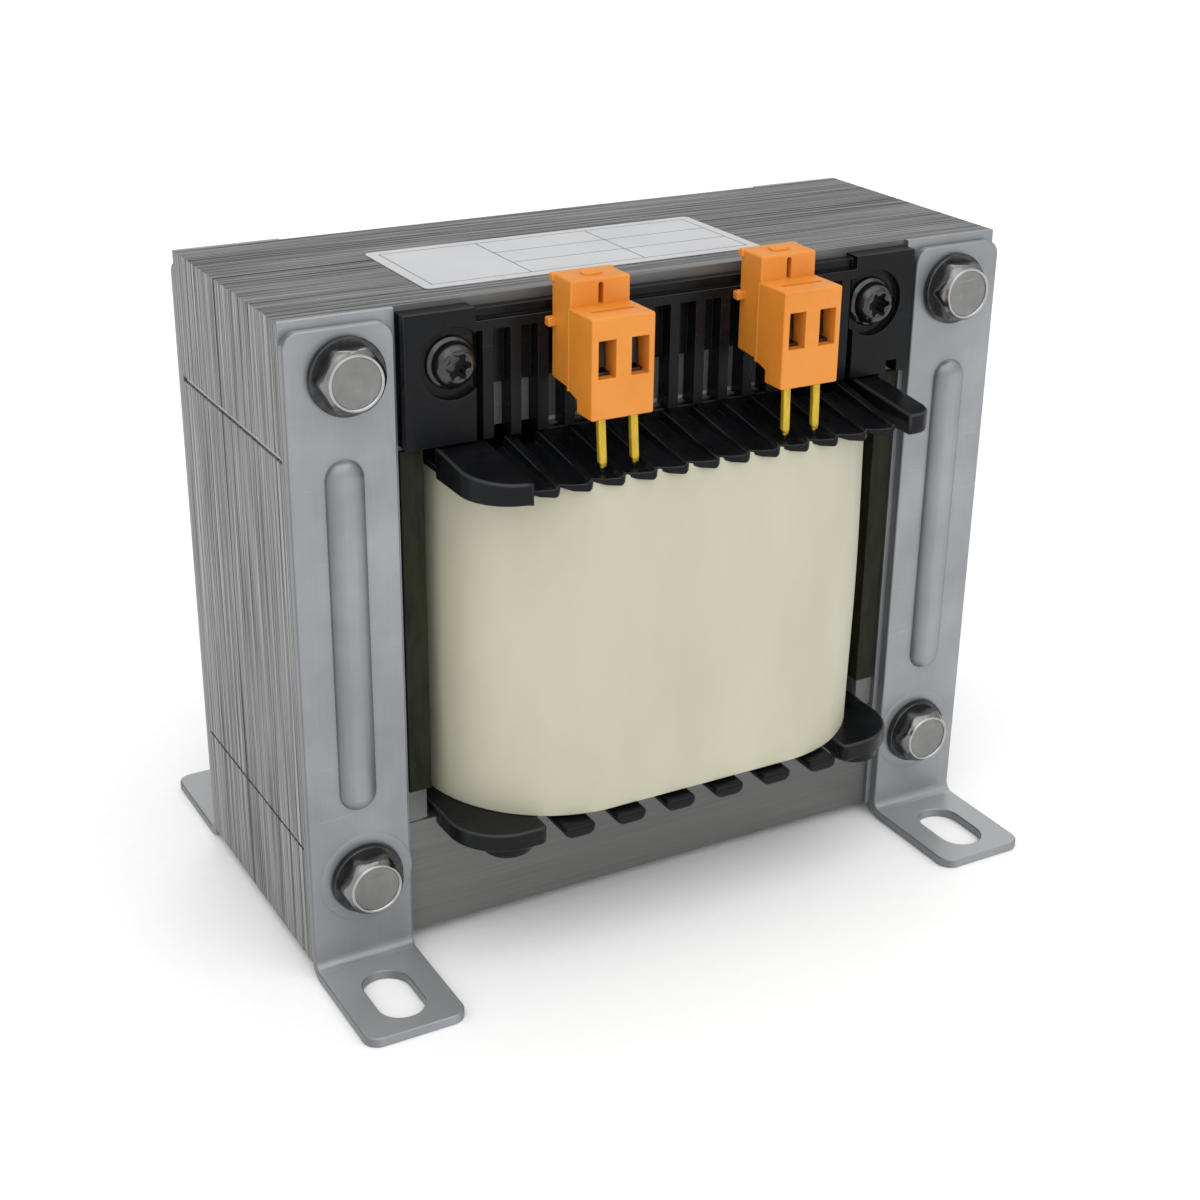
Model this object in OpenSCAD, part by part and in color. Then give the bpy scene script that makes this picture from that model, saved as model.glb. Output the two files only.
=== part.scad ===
// Harmonic filter reactor: one winding on a gapped iron core that stands on slotted feet.
// Millimetres. X runs across the core, -Y is the terminal side, +Z is up, the floor is z = 0.

/* [Core] */
// Width of the core across its three limbs
core_w = 150; // [140:1:170]
// Depth of the lamination stack
core_d = 53; // [46:1:70]
// Height of each yoke
yoke_h = 24; // [22:0.5:32]
// Height of the limbs between the gaps
limb_h = 75.5; // [64:0.5:100]
// Width of each outer limb
outer_limb_w = 25; // [23:0.5:28]
// Width of the centre limb
centre_limb_w = 50; // [40:1:54]
// Thickness of the spacers in the upper air gap
upper_gap = 1.0; // [0.5:0.1:3]
// Thickness of the sheets in the lower joint
lower_gap = 0.5; // [0.3:0.1:2]
// How far the gap spacers stand back from the lamination faces
gap_inset = 0.6; // [0.2:0.1:2]
// Height of the core above the floor
core_lift = 2.5; // [1:0.1:4]
// Depth of the front packet of laminations
front_packet = 30.5; // [10:0.5:42]
// Width and depth of the line between the two packets
packet_line = 0.4; // [0.2:0.1:0.8]

/* [Strips and brackets] */
// Thickness of the backing strips
strip_t = 1.0; // [0.5:0.1:2]
// How far a strip shows past the inner edge of its bracket
strip_lip = 1.0; // [0.2:0.1:2]
// Sheet thickness of the brackets
bracket_t = 2.0; // [1.5:0.1:3]
// Width of the brackets
bracket_w = 20; // [18.5:0.5:22]
// Distance from the core's top to the bracket's top
bracket_drop = 1.6; // [0.5:0.1:4]
// Corner radius at the top of the brackets
bracket_corner = 3; // [1:0.5:5]
// Inside radius of the foot's bend
bend_r = 2; // [1:0.25:4]
// Reach of the feet from the core's face
foot_reach = 28.5; // [26:0.5:40]
// Corner radius of the feet
foot_corner = 3; // [1:0.5:6]
// Width of the fixing slots
slot_w = 9; // [6:0.5:11]
// Overall length of the fixing slots
slot_len = 15.5; // [12:0.5:18]
// Width of the pressed bead
bead_w = 6.4; // [5:0.2:9]
// Height of the pressed bead
bead_h = 1.6; // [1:0.1:2.4]
// Distance from a bolt's axis to the bead's end
bead_margin = 15; // [11:0.5:22]
// Radius of the pressed ring round each lower bolt
ring_r = 8.2; // [7.6:0.1:8.4]
// Width of the pressed ring
ring_w = 1.2; // [0.8:0.1:1.6]
// Height of the pressed ring
ring_h = 0.3; // [0.2:0.05:0.5]

/* [Core bolts] */
// Diameter of the core bolts
bolt_d = 6; // [5:0.5:7]
// Distance from the core's side to the bolts
bolt_in = 11; // [10:0.5:12]
// Distance from the core's top to the upper bolts
upper_bolt_drop = 10; // [9.5:0.5:14]
// Distance from the core's bottom to the lower bolts
lower_bolt_rise = 17; // [10:0.5:17.5]
// Width across the flats of heads and nuts
hex_af = 10; // [9:0.5:12]
// Distance from the flats to the round face of a head or nut
hex_edge = 0.25; // [0.1:0.05:0.6]
// Angle of the chamfer on heads and nuts
hex_chamfer = 30; // [20:1:45]
// Height of the bolt heads
head_h = 3.9; // [3:0.1:6]
// Height of the nuts
nut_h = 5; // [4:0.1:7]
// Length of bolt past its nut
bolt_end = 3; // [1:0.5:8]
// Outer diameter of the washers
washer_d = 14; // [13:0.5:15]
// Thickness of the washers
washer_t = 1.4; // [1:0.1:2.4]
// Clearance round the bolts in washers, strips and brackets
bolt_clear = 0.3; // [0.2:0.05:0.5]
// Clearance between a thread and its bore
thread_clear = 0.1; // [0.05:0.05:0.2]
// Wall of the insulating sleeves
sleeve_t = 0.7; // [0.5:0.1:1]
// Clearance inside and outside the sleeves
sleeve_clear = 0.15; // [0.1:0.05:0.3]

/* [Coil] */
// Gap between the coil and the outer limbs
coil_side_gap = 3.2; // [2.6:0.1:6]
// How far the coil stands out from the core's face
coil_build = 18.5; // [16:0.5:24]
// Corner radius of the coil
coil_r = 27; // [15:0.5:30]
// Thickness of the tape wrap
wrap_t = 0.8; // [0.5:0.1:1.5]
// Clearance between the winding and its wrap
wrap_clear = 0.1; // [0.05:0.05:0.3]

/* [Bobbin] */
// Clearance between the bobbin and the centre limb
limb_clear = 0.5; // [0.3:0.1:1]
// Wall of the bobbin's tube
tube_t = 1.5; // [1:0.1:2.5]
// Thickness of the flanges
flange_t = 1.4; // [1:0.1:1.8]
// Height of the tube above the upper flange
upper_lip = 3.5; // [2.5:0.1:5]
// Height of the tube below the lower flange
lower_lip = 2.3; // [0.5:0.1:3]
// How far the lower flange stands back under the coil
flange_inset = 2.5; // [1:0.1:4]
// Play between the bobbin and the top yoke
bobbin_play = 1.5; // [0.5:0.1:2.5]
// Clearance between the coil's wrap and what hangs over it
edge_clear = 0.3; // [0.2:0.1:0.6]
// Spacing of the fins and of the terminal poles
fin_pitch = 6.5; // [5.8:0.1:7]
// Thickness of the fins
fin_t = 1.5; // [1:0.1:2]
// Radius of the fins' noses
fin_nose = 1.3; // [1:0.1:2]
// Distance from the core's face to the fins' roots
fin_root_gap = 0.9; // [0.5:0.1:2]
// How far the webs between the fins stand back at their thin ends
web_back = 2.4; // [1:0.1:3]
// Depth of the webs' tops below the fins' edges
web_drop = 0.9; // [0.5:0.1:1.2]
// How far the upper flange stands back under the webs
flange_step = 3.5; // [1:0.1:5]
// Least width of the wings at the upper corners
wing_w = 6.5; // [5:0.25:9]
// Overhang of the wings past the coil's sides
wing_side = 0.8; // [0.4:0.1:2]
// Overhang of the wings past the coil's front
wing_over = 2.8; // [1.5:0.1:4]
// Corner radius of the wings
wing_r = 10; // [6:0.5:14]
// Height of the wings' outer ends above the coil
wing_h = 2.8; // [2:0.1:3.8]
// How far the wings hang over the coil's upper edge
wing_skirt = 0.9; // [0.5:0.1:2]
// Least width of the lobes at the lower corners
lobe_w = 12.5; // [9:0.5:14]
// Gap between the lobes and the outer limbs
lobe_gap = 0.8; // [0.4:0.1:2]
// Overhang of the lobes past the coil's front
lobe_over = 0.3; // [0.1:0.1:2]
// Corner radius of the lobes
lobe_r = 11; // [6:0.5:14]
// Thickness of the lobes
lobe_t = 3.2; // [2:0.1:5]
// Radius of the studs under the lobes
stud_r = 4.2; // [3:0.1:5]
// Height of the studs under the lobes
stud_h = 1.6; // [0.5:0.1:3]
// Spacing of the lower tabs
tab_pitch = 11; // [9.5:0.25:14]
// Width of the lower tabs
tab_w = 6.4; // [4:0.1:8]
// Overhang of the tabs past the coil
tab_over = 2.0; // [0.5:0.1:4]
// Thickness of the tabs under the lower flange
tab_t = 1.9; // [1.2:0.1:3]
// Radius of the tabs' lower corners
tab_r = 0.9; // [0.3:0.1:1.1]

/* [Limb liners] */
// Thickness of the limb liners
liner_t = 0.8; // [0.4:0.1:1.2]
// Length of limb left bare at the liners' lower ends
liner_foot = 6.5; // [2:0.5:15]
// Length of limb left bare at the liners' upper ends
liner_head = 1.0; // [0.8:0.1:5]
// Gap between a liner's flap and the strip beside it
liner_clear = 0.3; // [0.2:0.1:1]

/* [Terminal carrier] */
// Thickness of the carrier in front of the yoke
carrier_t = 3.8; // [3:0.1:5]
// Clearance between the carrier and the strips and bobbin beside it
carrier_clear = 0.4; // [0.2:0.1:1]
// Distance from the core's top to the end blocks
block_drop = 1.0; // [0.5:0.1:3]
// Width of the end blocks
block_w = 13.5; // [11:0.5:14]
// Distance from a block's inner edge to its screw
screw_in = 4.3; // [3.6:0.1:5]
// Distance from the core's top to the screws
screw_drop = 10.5; // [9:0.5:12]
// Radius of the recess round a screw
recess_r = 6.5; // [5.5:0.1:7.5]
// Depth of the recess round a screw
recess_depth = 1.4; // [0.6:0.1:2]
// Size of the keying notch in the right block
key_notch = 2.5; // [1.5:0.1:4]
// Distance from the core's top to the rail
rail_drop = 1.7; // [1:0.1:4]
// Height of each of the rail's two steps
rail_step_h = 1.8; // [1.2:0.1:2.5]
// How far the upper step stands back
rail_step_in = 1.5; // [0.5:0.1:2.2]
// Spacing of the ribs
rib_pitch = 5.4; // [4.8:0.1:7]
// Width of the ribs
rib_w = 2.1; // [1:0.1:2.6]
// Thickness of the wall behind the ribs
wall_t = 1.0; // [0.6:0.1:1.8]
// Height of the wall below the rail
wall_h = 10.5; // [5:0.5:14]
// Diameter of the carrier screws
screw_d = 5; // [4:0.5:5]
// Depth of the carrier screws in the yoke
screw_depth = 14; // [8:0.5:18]
// Head diameter of the carrier screws
screw_head_d = 9.5; // [8:0.25:10.5]
// Head height of the carrier screws
screw_head_h = 3.6; // [2.5:0.1:4.5]
// Size of the six-lobe socket across its lobes
socket_d = 4.5; // [3.5:0.1:5]
// Depth of the six-lobe socket
socket_depth = 2; // [1:0.1:2.2]

/* [Terminals] */
// Number of the fin, counted from the middle, behind a terminal's middle
terminal_fin = 3; // [2:1:4]
// Width of a terminal
terminal_w = 12.4; // [12:0.1:13]
// Step in width between the front and rear of a terminal
terminal_step = 0.2; // [0.1:0.05:0.4]
// Height of a terminal above the core's top
terminal_rise = 3.4; // [2:0.1:6]
// Height of the terminal's upper block
upper_block_h = 4.6; // [3:0.1:6]
// Depth of the terminal's upper block
upper_block_d = 7; // [5:0.1:8]
// Height of the terminal's front block
front_block_h = 18.1; // [16:0.1:19]
// Depth of the lower end of the front block
front_foot_d = 4.8; // [4.6:0.1:6]
// Rise of the terminal's rear underside
rear_rise = 3.9; // [3:0.1:6]
// Fall of the terminal's rear underside towards the front
rear_fall = 1.2; // [0.4:0.1:2]
// Wall in front of the leads
lead_wall = 1.9; // [1.2:0.1:2.1]
// Width of a wire entry
entry_w = 3.5; // [2.5:0.1:4]
// Height of a wire entry
entry_h = 6.8; // [5:0.1:7.5]
// Depth of a wire entry
entry_depth = 10; // [7:0.25:10.5]
// Distance from the front block's top to a wire entry
entry_drop = 3.9; // [3:0.1:5]
// Width of the slot in the upper block
key_slot_w = 1.1; // [0.6:0.1:2]
// Depth of the slot in the upper block
key_slot_d = 2.2; // [1:0.1:4]
// Width of the raised pad on a terminal
pad_w = 4.2; // [2:0.1:6]
// Depth of the raised pad on a terminal
pad_d = 2.0; // [1:0.1:3]
// Height of the raised pad on a terminal
pad_h = 0.4; // [0.2:0.1:0.8]
// Length of the groove on the front block
groove_len = 8.6; // [5:0.1:10]
// Width of the groove on the front block
groove_w = 0.9; // [0.5:0.1:1.5]
// Depth of the groove on the front block
groove_depth = 0.4; // [0.2:0.1:0.8]
// Reach of the latch tab beside a terminal
latch_reach = 1.2; // [1:0.1:2.2]
// Height of the latch tab
latch_h = 2.4; // [1.5:0.1:4]
// Depth of the latch tab
latch_d = 2; // [1.5:0.1:5]
// Clearance of a terminal's lugs between the ribs
lug_clear = 0.3; // [0.1:0.05:0.6]
// Thickness of the clamp springs
clamp_t = 0.6; // [0.4:0.05:0.8]
// Clearance of the clamps in the wire entries
clamp_clear = 0.2; // [0.1:0.05:0.4]
// Diameter of the lead pins
lead_d = 2.0; // [1.2:0.1:2.2]
// Clearance round the lead pins
lead_clear = 0.3; // [0.15:0.05:0.5]

/* [Label] */
// Width of the rating label
label_w = 70; // [40:1:100]
// Depth of the rating label
label_d = 28; // [15:0.5:32]
// Thickness of the rating label
label_t = 0.2; // [0.1:0.05:0.4]
// Distance of the label's middle from the core's middle, across
label_x = -9.5; // [-20:0.5:20]
// Distance of the label's middle from the core's middle, in depth
label_y = -5.5; // [-8:0.5:6]

/* [Hidden] */
$fn = 64;
hex_fn = 6;
cut = 1;

// Heights of the core's joints
core_z = core_lift;
lower_joint_z = core_z + yoke_h;
limb_z = lower_joint_z + lower_gap;
limb_top_z = limb_z + limb_h;
upper_joint_z = limb_top_z + upper_gap;
core_top_z = upper_joint_z + yoke_h;

// Planes of the core and its window
face_y = core_d / 2;
side_x = core_w / 2;
window_x = side_x - outer_limb_w;
packet_y = front_packet - face_y;

// Places of the bolts
bolt_x = side_x - bolt_in;
upper_bolt_z = core_top_z - upper_bolt_drop;
lower_bolt_z = core_z + lower_bolt_rise;
bolt_hole_r = bolt_d / 2 + bolt_clear;
sleeve_ir = bolt_d / 2 + sleeve_clear;
sleeve_or = sleeve_ir + sleeve_t;
core_hole_r = sleeve_or + sleeve_clear;

// Places of strips, brackets and bolt heads
strip_w = bracket_w + strip_lip;
strip_x = side_x - strip_w;
bracket_back_y = face_y + strip_t;
bracket_front_y = bracket_back_y + bracket_t;
bracket_x = side_x - bracket_w;
bracket_mid_x = side_x - bracket_w / 2;
bracket_top_z = core_top_z - bracket_drop;
bend_z = bracket_t + bend_r;
bend_y = bracket_front_y + bend_r;
foot_y = face_y + foot_reach;
slot_y = (bend_y + foot_y) / 2;
head_seat_y = bracket_front_y + washer_t;

// Arc of the bead: its chord is the width and its sagitta the height
bead_r = (bead_w * bead_w / 4 + bead_h * bead_h) / (2 * bead_h);
bead_axis_y = bracket_front_y + bead_h - bead_r;
bead_low_z = lower_bolt_z + bead_margin;
bead_high_z = upper_bolt_z - bead_margin;

// Coil and bobbin
coil_w = 2 * (window_x - coil_side_gap);
coil_front_y = face_y + coil_build;
coil_d = 2 * coil_front_y;
tube_ix = centre_limb_w / 2 + limb_clear;
tube_iy = face_y + limb_clear;
tube_ox = tube_ix + tube_t;
tube_oy = tube_iy + tube_t;
coil_low_z = lower_joint_z + lower_lip + flange_t;
bobbin_top_z = upper_joint_z - bobbin_play;
coil_top_z = bobbin_top_z - upper_lip - flange_t;
over_y = face_y + strip_t + fin_root_gap;
fin_pairs = floor((coil_w / 2 - wing_w) / fin_pitch);
wing_x = fin_pairs * fin_pitch;
nose_y = coil_front_y + edge_clear + fin_nose;
lobe_x = coil_w / 2 - lobe_w;
lobe_side = coil_side_gap - lobe_gap;
tab_pairs = floor(lobe_x / tab_pitch);

// Terminal carrier
carrier_x = strip_x - carrier_clear;
carrier_y = face_y + carrier_t;
carrier_low_z = bobbin_top_z + carrier_clear;
block_x = carrier_x - block_w;
block_top_z = core_top_z - block_drop;
screw_x = block_x + screw_in;
screw_z = core_top_z - screw_drop;
screw_seat_y = carrier_y - recess_depth;
rail_top_z = core_top_z - rail_drop;
rail_mid_z = rail_top_z - rail_step_h;
rail_low_z = rail_mid_z - rail_step_h;
wall_low_z = rail_low_z - wall_h;
rib_pairs = floor((block_x - rib_w / 2) / rib_pitch);

// Terminals and leads
terminal_x = terminal_fin * fin_pitch;
pole_x = fin_pitch / 2;
lead_y = coil_front_y - wrap_t - wrap_clear - lead_d / 2 - lead_clear;
terminal_front_y = lead_y + lead_d / 2 + lead_wall;
terminal_step_y = carrier_y + upper_block_d;
terminal_top_z = core_top_z + terminal_rise;
terminal_step_z = terminal_top_z - upper_block_h;
terminal_low_z = terminal_step_z - front_block_h;
terminal_rear_z = terminal_low_z + rear_rise;
terminal_foot_y = terminal_front_y - front_foot_d;
entry_top_z = terminal_step_z - entry_drop;
entry_low_z = entry_top_z - entry_h;
entry_back_y = terminal_front_y - entry_depth;
lug_w = rib_pitch - rib_w - 2 * lug_clear;
lug_x = (floor(terminal_x / rib_pitch) + 0.5) * rib_pitch;
lug_top_z = rail_low_z - lug_clear;
lug_low_z = wall_low_z + lug_clear;

// Shapes that several pieces share

module rounded_rect(w, d, r) {
    square([w - 2 * r, d], center = true);
    square([w, d - 2 * r], center = true);
    for (sx = [-1, 1], sy = [-1, 1])
        translate([sx * (w / 2 - r), sy * (d / 2 - r)])
            circle(r);
}

// An outline in x and z, given its thickness along Y, with its front at y = -front
module sheet(front, thickness) {
    translate([0, -front + thickness, 0])
        rotate([90, 0, 0])
            linear_extrude(thickness)
                children();
}

// An outline in y and z, given its width along X, with its middle at x
module slab(x, width) {
    translate([x - width / 2, 0, 0])
        rotate([90, 0, 90])
            linear_extrude(width)
                children();
}

module at_each_bolt() {
    for (sx = [-1, 1], z = [lower_bolt_z, upper_bolt_z])
        translate([sx * bolt_x, 0, z])
            children();
}

module bolt_circles(r) {
    for (sx = [-1, 1], z = [lower_bolt_z, upper_bolt_z])
        translate([sx * bolt_x, z])
            circle(r);
}

// The coil's outline in plan, grown outwards by a margin
module coil_outline(margin) {
    rounded_rect(coil_w + 2 * margin, coil_d + 2 * margin, coil_r + margin);
}

// Core

// A lamination pack from a stamped outline, with the line between its two packets
module lamination_pack(x, w, z, h) {
    difference() {
        sheet(face_y, core_d)
            difference() {
                translate([x - w / 2, z])
                    square([w, h]);
                bolt_circles(core_hole_r);
            }
        sheet(-packet_y, packet_line)
            difference() {
                translate([x - w / 2 - cut, z - cut])
                    square([w + 2 * cut, h + 2 * cut]);
                translate([x - w / 2 + packet_line, z + packet_line])
                    square([w - 2 * packet_line, h - 2 * packet_line]);
            }
    }
}

module bottom_yoke() {
    color("#8f8f8d")
        lamination_pack(0, core_w, core_z, yoke_h);
}

module top_yoke() {
    color("#8f8f8d")
        difference() {
            lamination_pack(0, core_w, upper_joint_z, yoke_h);
            for (sx = [-1, 1])
                translate([sx * screw_x, -face_y - cut, screw_z])
                    rotate([-90, 0, 0])
                        cylinder(h = screw_depth + 2 * cut, r = screw_d / 2 + thread_clear);
        }
}

module outer_limb(side) {
    color("#8a8a88")
        lamination_pack(side * (side_x - outer_limb_w / 2), outer_limb_w, limb_z, limb_h);
}

module left_limb() {
    outer_limb(-1);
}

module right_limb() {
    outer_limb(1);
}

module centre_limb() {
    color("#8a8a88")
        lamination_pack(0, centre_limb_w, limb_z, limb_h);
}

// One plate under or over each of the three limbs
module gap_plates(z, t) {
    outer_x = side_x - outer_limb_w / 2;
    for (limb = [[-outer_x, outer_limb_w], [0, centre_limb_w], [outer_x, outer_limb_w]])
        translate([limb[0], 0, z])
            linear_extrude(t)
                square([limb[1] - 2 * gap_inset, core_d - 2 * gap_inset], center = true);
}

module lower_gap_sheets() {
    color("#5a5a55")
        gap_plates(lower_joint_z, lower_gap);
}

module upper_gap_spacers() {
    color("#c9cbc4")
        gap_plates(limb_top_z, upper_gap);
}

// A channel of insulating sheet folded round the window side of an outer limb
module limb_liner() {
    flap_x = strip_x - liner_clear;
    liner_z = limb_z + liner_foot;
    color("#3a3b38")
        translate([0, 0, liner_z])
            linear_extrude(limb_top_z - liner_head - liner_z)
                difference() {
                    translate([window_x - liner_t, -face_y - liner_t])
                        square([flap_x - window_x + liner_t, core_d + 2 * liner_t]);
                    translate([window_x, -face_y])
                        square([outer_limb_w, core_d]);
                }
}

module left_limb_liner() {
    mirror([1, 0, 0])
        limb_liner();
}

module right_limb_liner() {
    limb_liner();
}

// Backing strips and brackets

module front_right_strip() {
    color("#a9b0b6")
        sheet(bracket_back_y, strip_t)
            difference() {
                translate([strip_x, core_z])
                    square([strip_w, core_top_z - core_z]);
                bolt_circles(bolt_hole_r);
            }
}

module front_left_strip() {
    mirror([1, 0, 0])
        front_right_strip();
}

module rear_right_strip() {
    mirror([0, 1, 0])
        front_right_strip();
}

module rear_left_strip() {
    mirror([0, 1, 0])
        front_left_strip();
}

module upright_outline() {
    high_z = bracket_top_z - bracket_corner;
    difference() {
        union() {
            translate([bracket_x, bend_z])
                square([bracket_w, high_z - bend_z]);
            translate([bracket_x + bracket_corner, bend_z])
                square([bracket_w - 2 * bracket_corner, bracket_top_z - bend_z]);
            for (x = [bracket_x + bracket_corner, side_x - bracket_corner])
                translate([x, high_z])
                    circle(bracket_corner);
        }
        bolt_circles(bolt_hole_r);
    }
}

// The sheet's quarter bend in y and z
module bend_profile() {
    translate([-bend_y, bend_z])
        intersection() {
            difference() {
                circle(bend_r + bracket_t);
                circle(bend_r);
            }
            translate([0, -bend_z])
                square([bend_z, bend_z]);
        }
}

module foot_outline() {
    tip_y = foot_y - foot_corner;
    slot_r = slot_w / 2;
    slot_run = slot_len - slot_w;
    difference() {
        union() {
            translate([bracket_x, -tip_y])
                square([bracket_w, tip_y - bend_y]);
            translate([bracket_x + foot_corner, -foot_y])
                square([bracket_w - 2 * foot_corner, foot_y - bend_y]);
            for (x = [bracket_x + foot_corner, side_x - foot_corner])
                translate([x, -tip_y])
                    circle(foot_corner);
        }
        translate([bracket_mid_x, -slot_y]) {
            square([slot_w, slot_run], center = true);
            for (sy = [-1, 1])
                translate([0, sy * slot_run / 2])
                    circle(slot_r);
        }
    }
}

// A round bar with domed ends along the bead's axis
module bead_bar(r) {
    end_r = bead_w / 2;
    low = bead_low_z + end_r;
    run = bead_high_z - bead_low_z - bead_w;
    translate([bracket_mid_x, -bead_axis_y, low])
        rotate_extrude()
            intersection() {
                union() {
                    square([r, run]);
                    circle(r);
                    translate([0, run])
                        circle(r);
                }
                translate([0, -r])
                    square([r, run + 2 * r]);
            }
}

// Keeps only what lies on the bracket's width and in front of a plane y = -depth
module on_bracket(depth) {
    intersection() {
        children();
        translate([bracket_x, -depth - bead_w, 0])
            cube([bracket_w, bead_w, core_top_z]);
    }
}

module seat_ring() {
    translate([bolt_x, -bracket_front_y, lower_bolt_z])
        rotate([90, 0, 0])
            rotate_extrude()
                polygon([[ring_r - ring_w / 2, -ring_h], [ring_r - ring_w / 4, ring_h],
                         [ring_r + ring_w / 4, ring_h], [ring_r + ring_w / 2, -ring_h]]);
}

module front_right_bracket() {
    color("#969ea5")
        difference() {
            union() {
                sheet(bracket_front_y, bracket_t)
                    upright_outline();
                slab(bracket_mid_x, bracket_w)
                    bend_profile();
                linear_extrude(bracket_t)
                    foot_outline();
                on_bracket(bracket_back_y + bracket_t / 2) {
                    bead_bar(bead_r);
                    seat_ring();
                }
            }
            bead_bar(bead_r - bracket_t);
        }
}

module front_left_bracket() {
    mirror([1, 0, 0])
        front_right_bracket();
}

module rear_right_bracket() {
    mirror([0, 1, 0])
        front_right_bracket();
}

module rear_left_bracket() {
    mirror([0, 1, 0])
        front_left_bracket();
}

// Fasteners of the core

// A hexagon with chamfered corners, from z = 0 up; both = chamfer on both faces
module hex_body(h, both) {
    corner_r = hex_af / sqrt(3);
    face_r = hex_af / 2 - hex_edge;
    chamfer = (corner_r - face_r) * tan(hex_chamfer);
    intersection() {
        cylinder(h = h, r = corner_r, $fn = hex_fn);
        rotate_extrude()
            polygon([[0, 0], [both ? face_r : corner_r, 0], [corner_r, both ? chamfer : 0],
                     [corner_r, h - chamfer], [face_r, h], [0, h]]);
    }
}

module core_bolts() {
    shank = 2 * head_seat_y + nut_h + bolt_end;
    tip = bolt_d / 8;
    color("#8d8c88")
        at_each_bolt()
            translate([0, -head_seat_y, 0])
                rotate([90, 0, 0]) {
                    hex_body(head_h, false);
                    translate([0, 0, -shank])
                        rotate_extrude()
                            polygon([[0, 0], [bolt_d / 2 - tip, 0], [bolt_d / 2, tip],
                                     [bolt_d / 2, shank], [0, shank]]);
                }
}

module washer_ring() {
    difference() {
        cylinder(h = washer_t, r = washer_d / 2);
        translate([0, 0, -cut])
            cylinder(h = washer_t + 2 * cut, r = bolt_hole_r);
    }
}

module front_washers() {
    color("#7f8081")
        at_each_bolt()
            translate([0, -bracket_front_y, 0])
                rotate([90, 0, 0])
                    washer_ring();
}

module rear_washers() {
    color("#7f8081")
        at_each_bolt()
            translate([0, bracket_front_y, 0])
                rotate([-90, 0, 0])
                    washer_ring();
}

module core_nuts() {
    color("#8d8c88")
        at_each_bolt()
            translate([0, head_seat_y, 0])
                rotate([-90, 0, 0])
                    difference() {
                        hex_body(nut_h, true);
                        translate([0, 0, -cut])
                            cylinder(h = nut_h + 2 * cut, r = bolt_d / 2 + thread_clear);
                    }
}

module bolt_sleeves() {
    color("#d8d2bd")
        at_each_bolt()
            translate([0, face_y, 0])
                rotate([90, 0, 0])
                    difference() {
                        cylinder(h = core_d, r = sleeve_or);
                        translate([0, 0, -cut])
                            cylinder(h = core_d + 2 * cut, r = sleeve_ir);
                    }
}

// Coil and bobbin

module coil_wrap() {
    color("#cfccb2")
        translate([0, 0, coil_low_z])
            linear_extrude(coil_top_z - coil_low_z)
                difference() {
                    coil_outline(0);
                    coil_outline(-wrap_t);
                }
}

module winding() {
    color("#b4673a")
        translate([0, 0, coil_low_z])
            linear_extrude(coil_top_z - coil_low_z)
                difference() {
                    coil_outline(-wrap_t - wrap_clear);
                    square([2 * tube_ox, 2 * tube_oy], center = true);
                }
}

// One blade of the upper flange, in y and z: a sloping edge and a round nose over the coil
module fin_profile() {
    polygon([[-over_y, coil_top_z], [-over_y, bobbin_top_z], [-nose_y, coil_top_z + fin_nose],
             [-nose_y, coil_top_z]]);
    translate([-nose_y, coil_top_z])
        circle(fin_nose);
}

// The web on the left of the fin at x: it slopes with the fin and stands back towards the next fin
module web(x) {
    intersection() {
        slab(x - fin_pitch / 2, fin_pitch - fin_t / 2)
            polygon([[-over_y, coil_top_z], [-over_y, bobbin_top_z - web_drop],
                     [-nose_y, coil_top_z + fin_nose - web_drop], [-nose_y, coil_top_z]]);
        translate([x, 0, coil_top_z - fin_nose])
            linear_extrude(core_top_z)
                polygon([[0, cut - over_y], [-fin_pitch, cut - over_y],
                         [-fin_pitch, web_back - nose_y], [0, -nose_y]]);
    }
}

// A wing of the upper flange, in y and z
module wing_profile() {
    tip_y = coil_front_y + wing_over;
    polygon([[-over_y, coil_top_z - wing_skirt], [-over_y, bobbin_top_z],
             [-tip_y, coil_top_z + wing_h], [-tip_y, coil_top_z - wing_skirt]]);
}

// One tab of the lower flange, in x and z, with round lower corners
module tab_outline() {
    top_z = coil_low_z - flange_t;
    translate([-tab_w / 2, top_z - tab_t + tab_r])
        square([tab_w, tab_t - tab_r]);
    translate([-tab_w / 2 + tab_r, top_z - tab_t])
        square([tab_w - 2 * tab_r, tab_t]);
    for (sx = [-1, 1])
        translate([sx * (tab_w / 2 - tab_r), top_z - tab_t + tab_r])
            circle(tab_r);
}

// The part of a rectangle round the coil that lies in one front corner, past x
module corner_outline(side, over, r, x) {
    intersection() {
        rounded_rect(coil_w + 2 * side, coil_d + 2 * over, r);
        translate([x, -over_y - coil_d])
            square([coil_w, coil_d]);
    }
}

// A wing over the right front corner of the coil, cut to clear the wrap
module wing() {
    difference() {
        intersection() {
            slab(wing_x + coil_w / 2, coil_w)
                wing_profile();
            translate([0, 0, coil_top_z - 2 * wing_skirt])
                linear_extrude(core_top_z)
                    corner_outline(wing_side, wing_over, wing_r, wing_x);
        }
        translate([0, 0, coil_top_z - 2 * wing_skirt])
            linear_extrude(2 * wing_skirt)
                coil_outline(edge_clear);
    }
}

// A lobe under the right front corner of the coil, with its round stud
module lobe() {
    stud_x = lobe_x + stud_r + edge_clear;
    stud_y = coil_front_y + lobe_over - stud_r - edge_clear;
    translate([0, 0, coil_low_z - lobe_t])
        linear_extrude(lobe_t)
            corner_outline(lobe_side, lobe_over, lobe_r, lobe_x);
    translate([stud_x, -stud_y, coil_low_z - lobe_t - stud_h])
        cylinder(h = stud_h + lobe_t / 2, r = stud_r);
}

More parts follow.
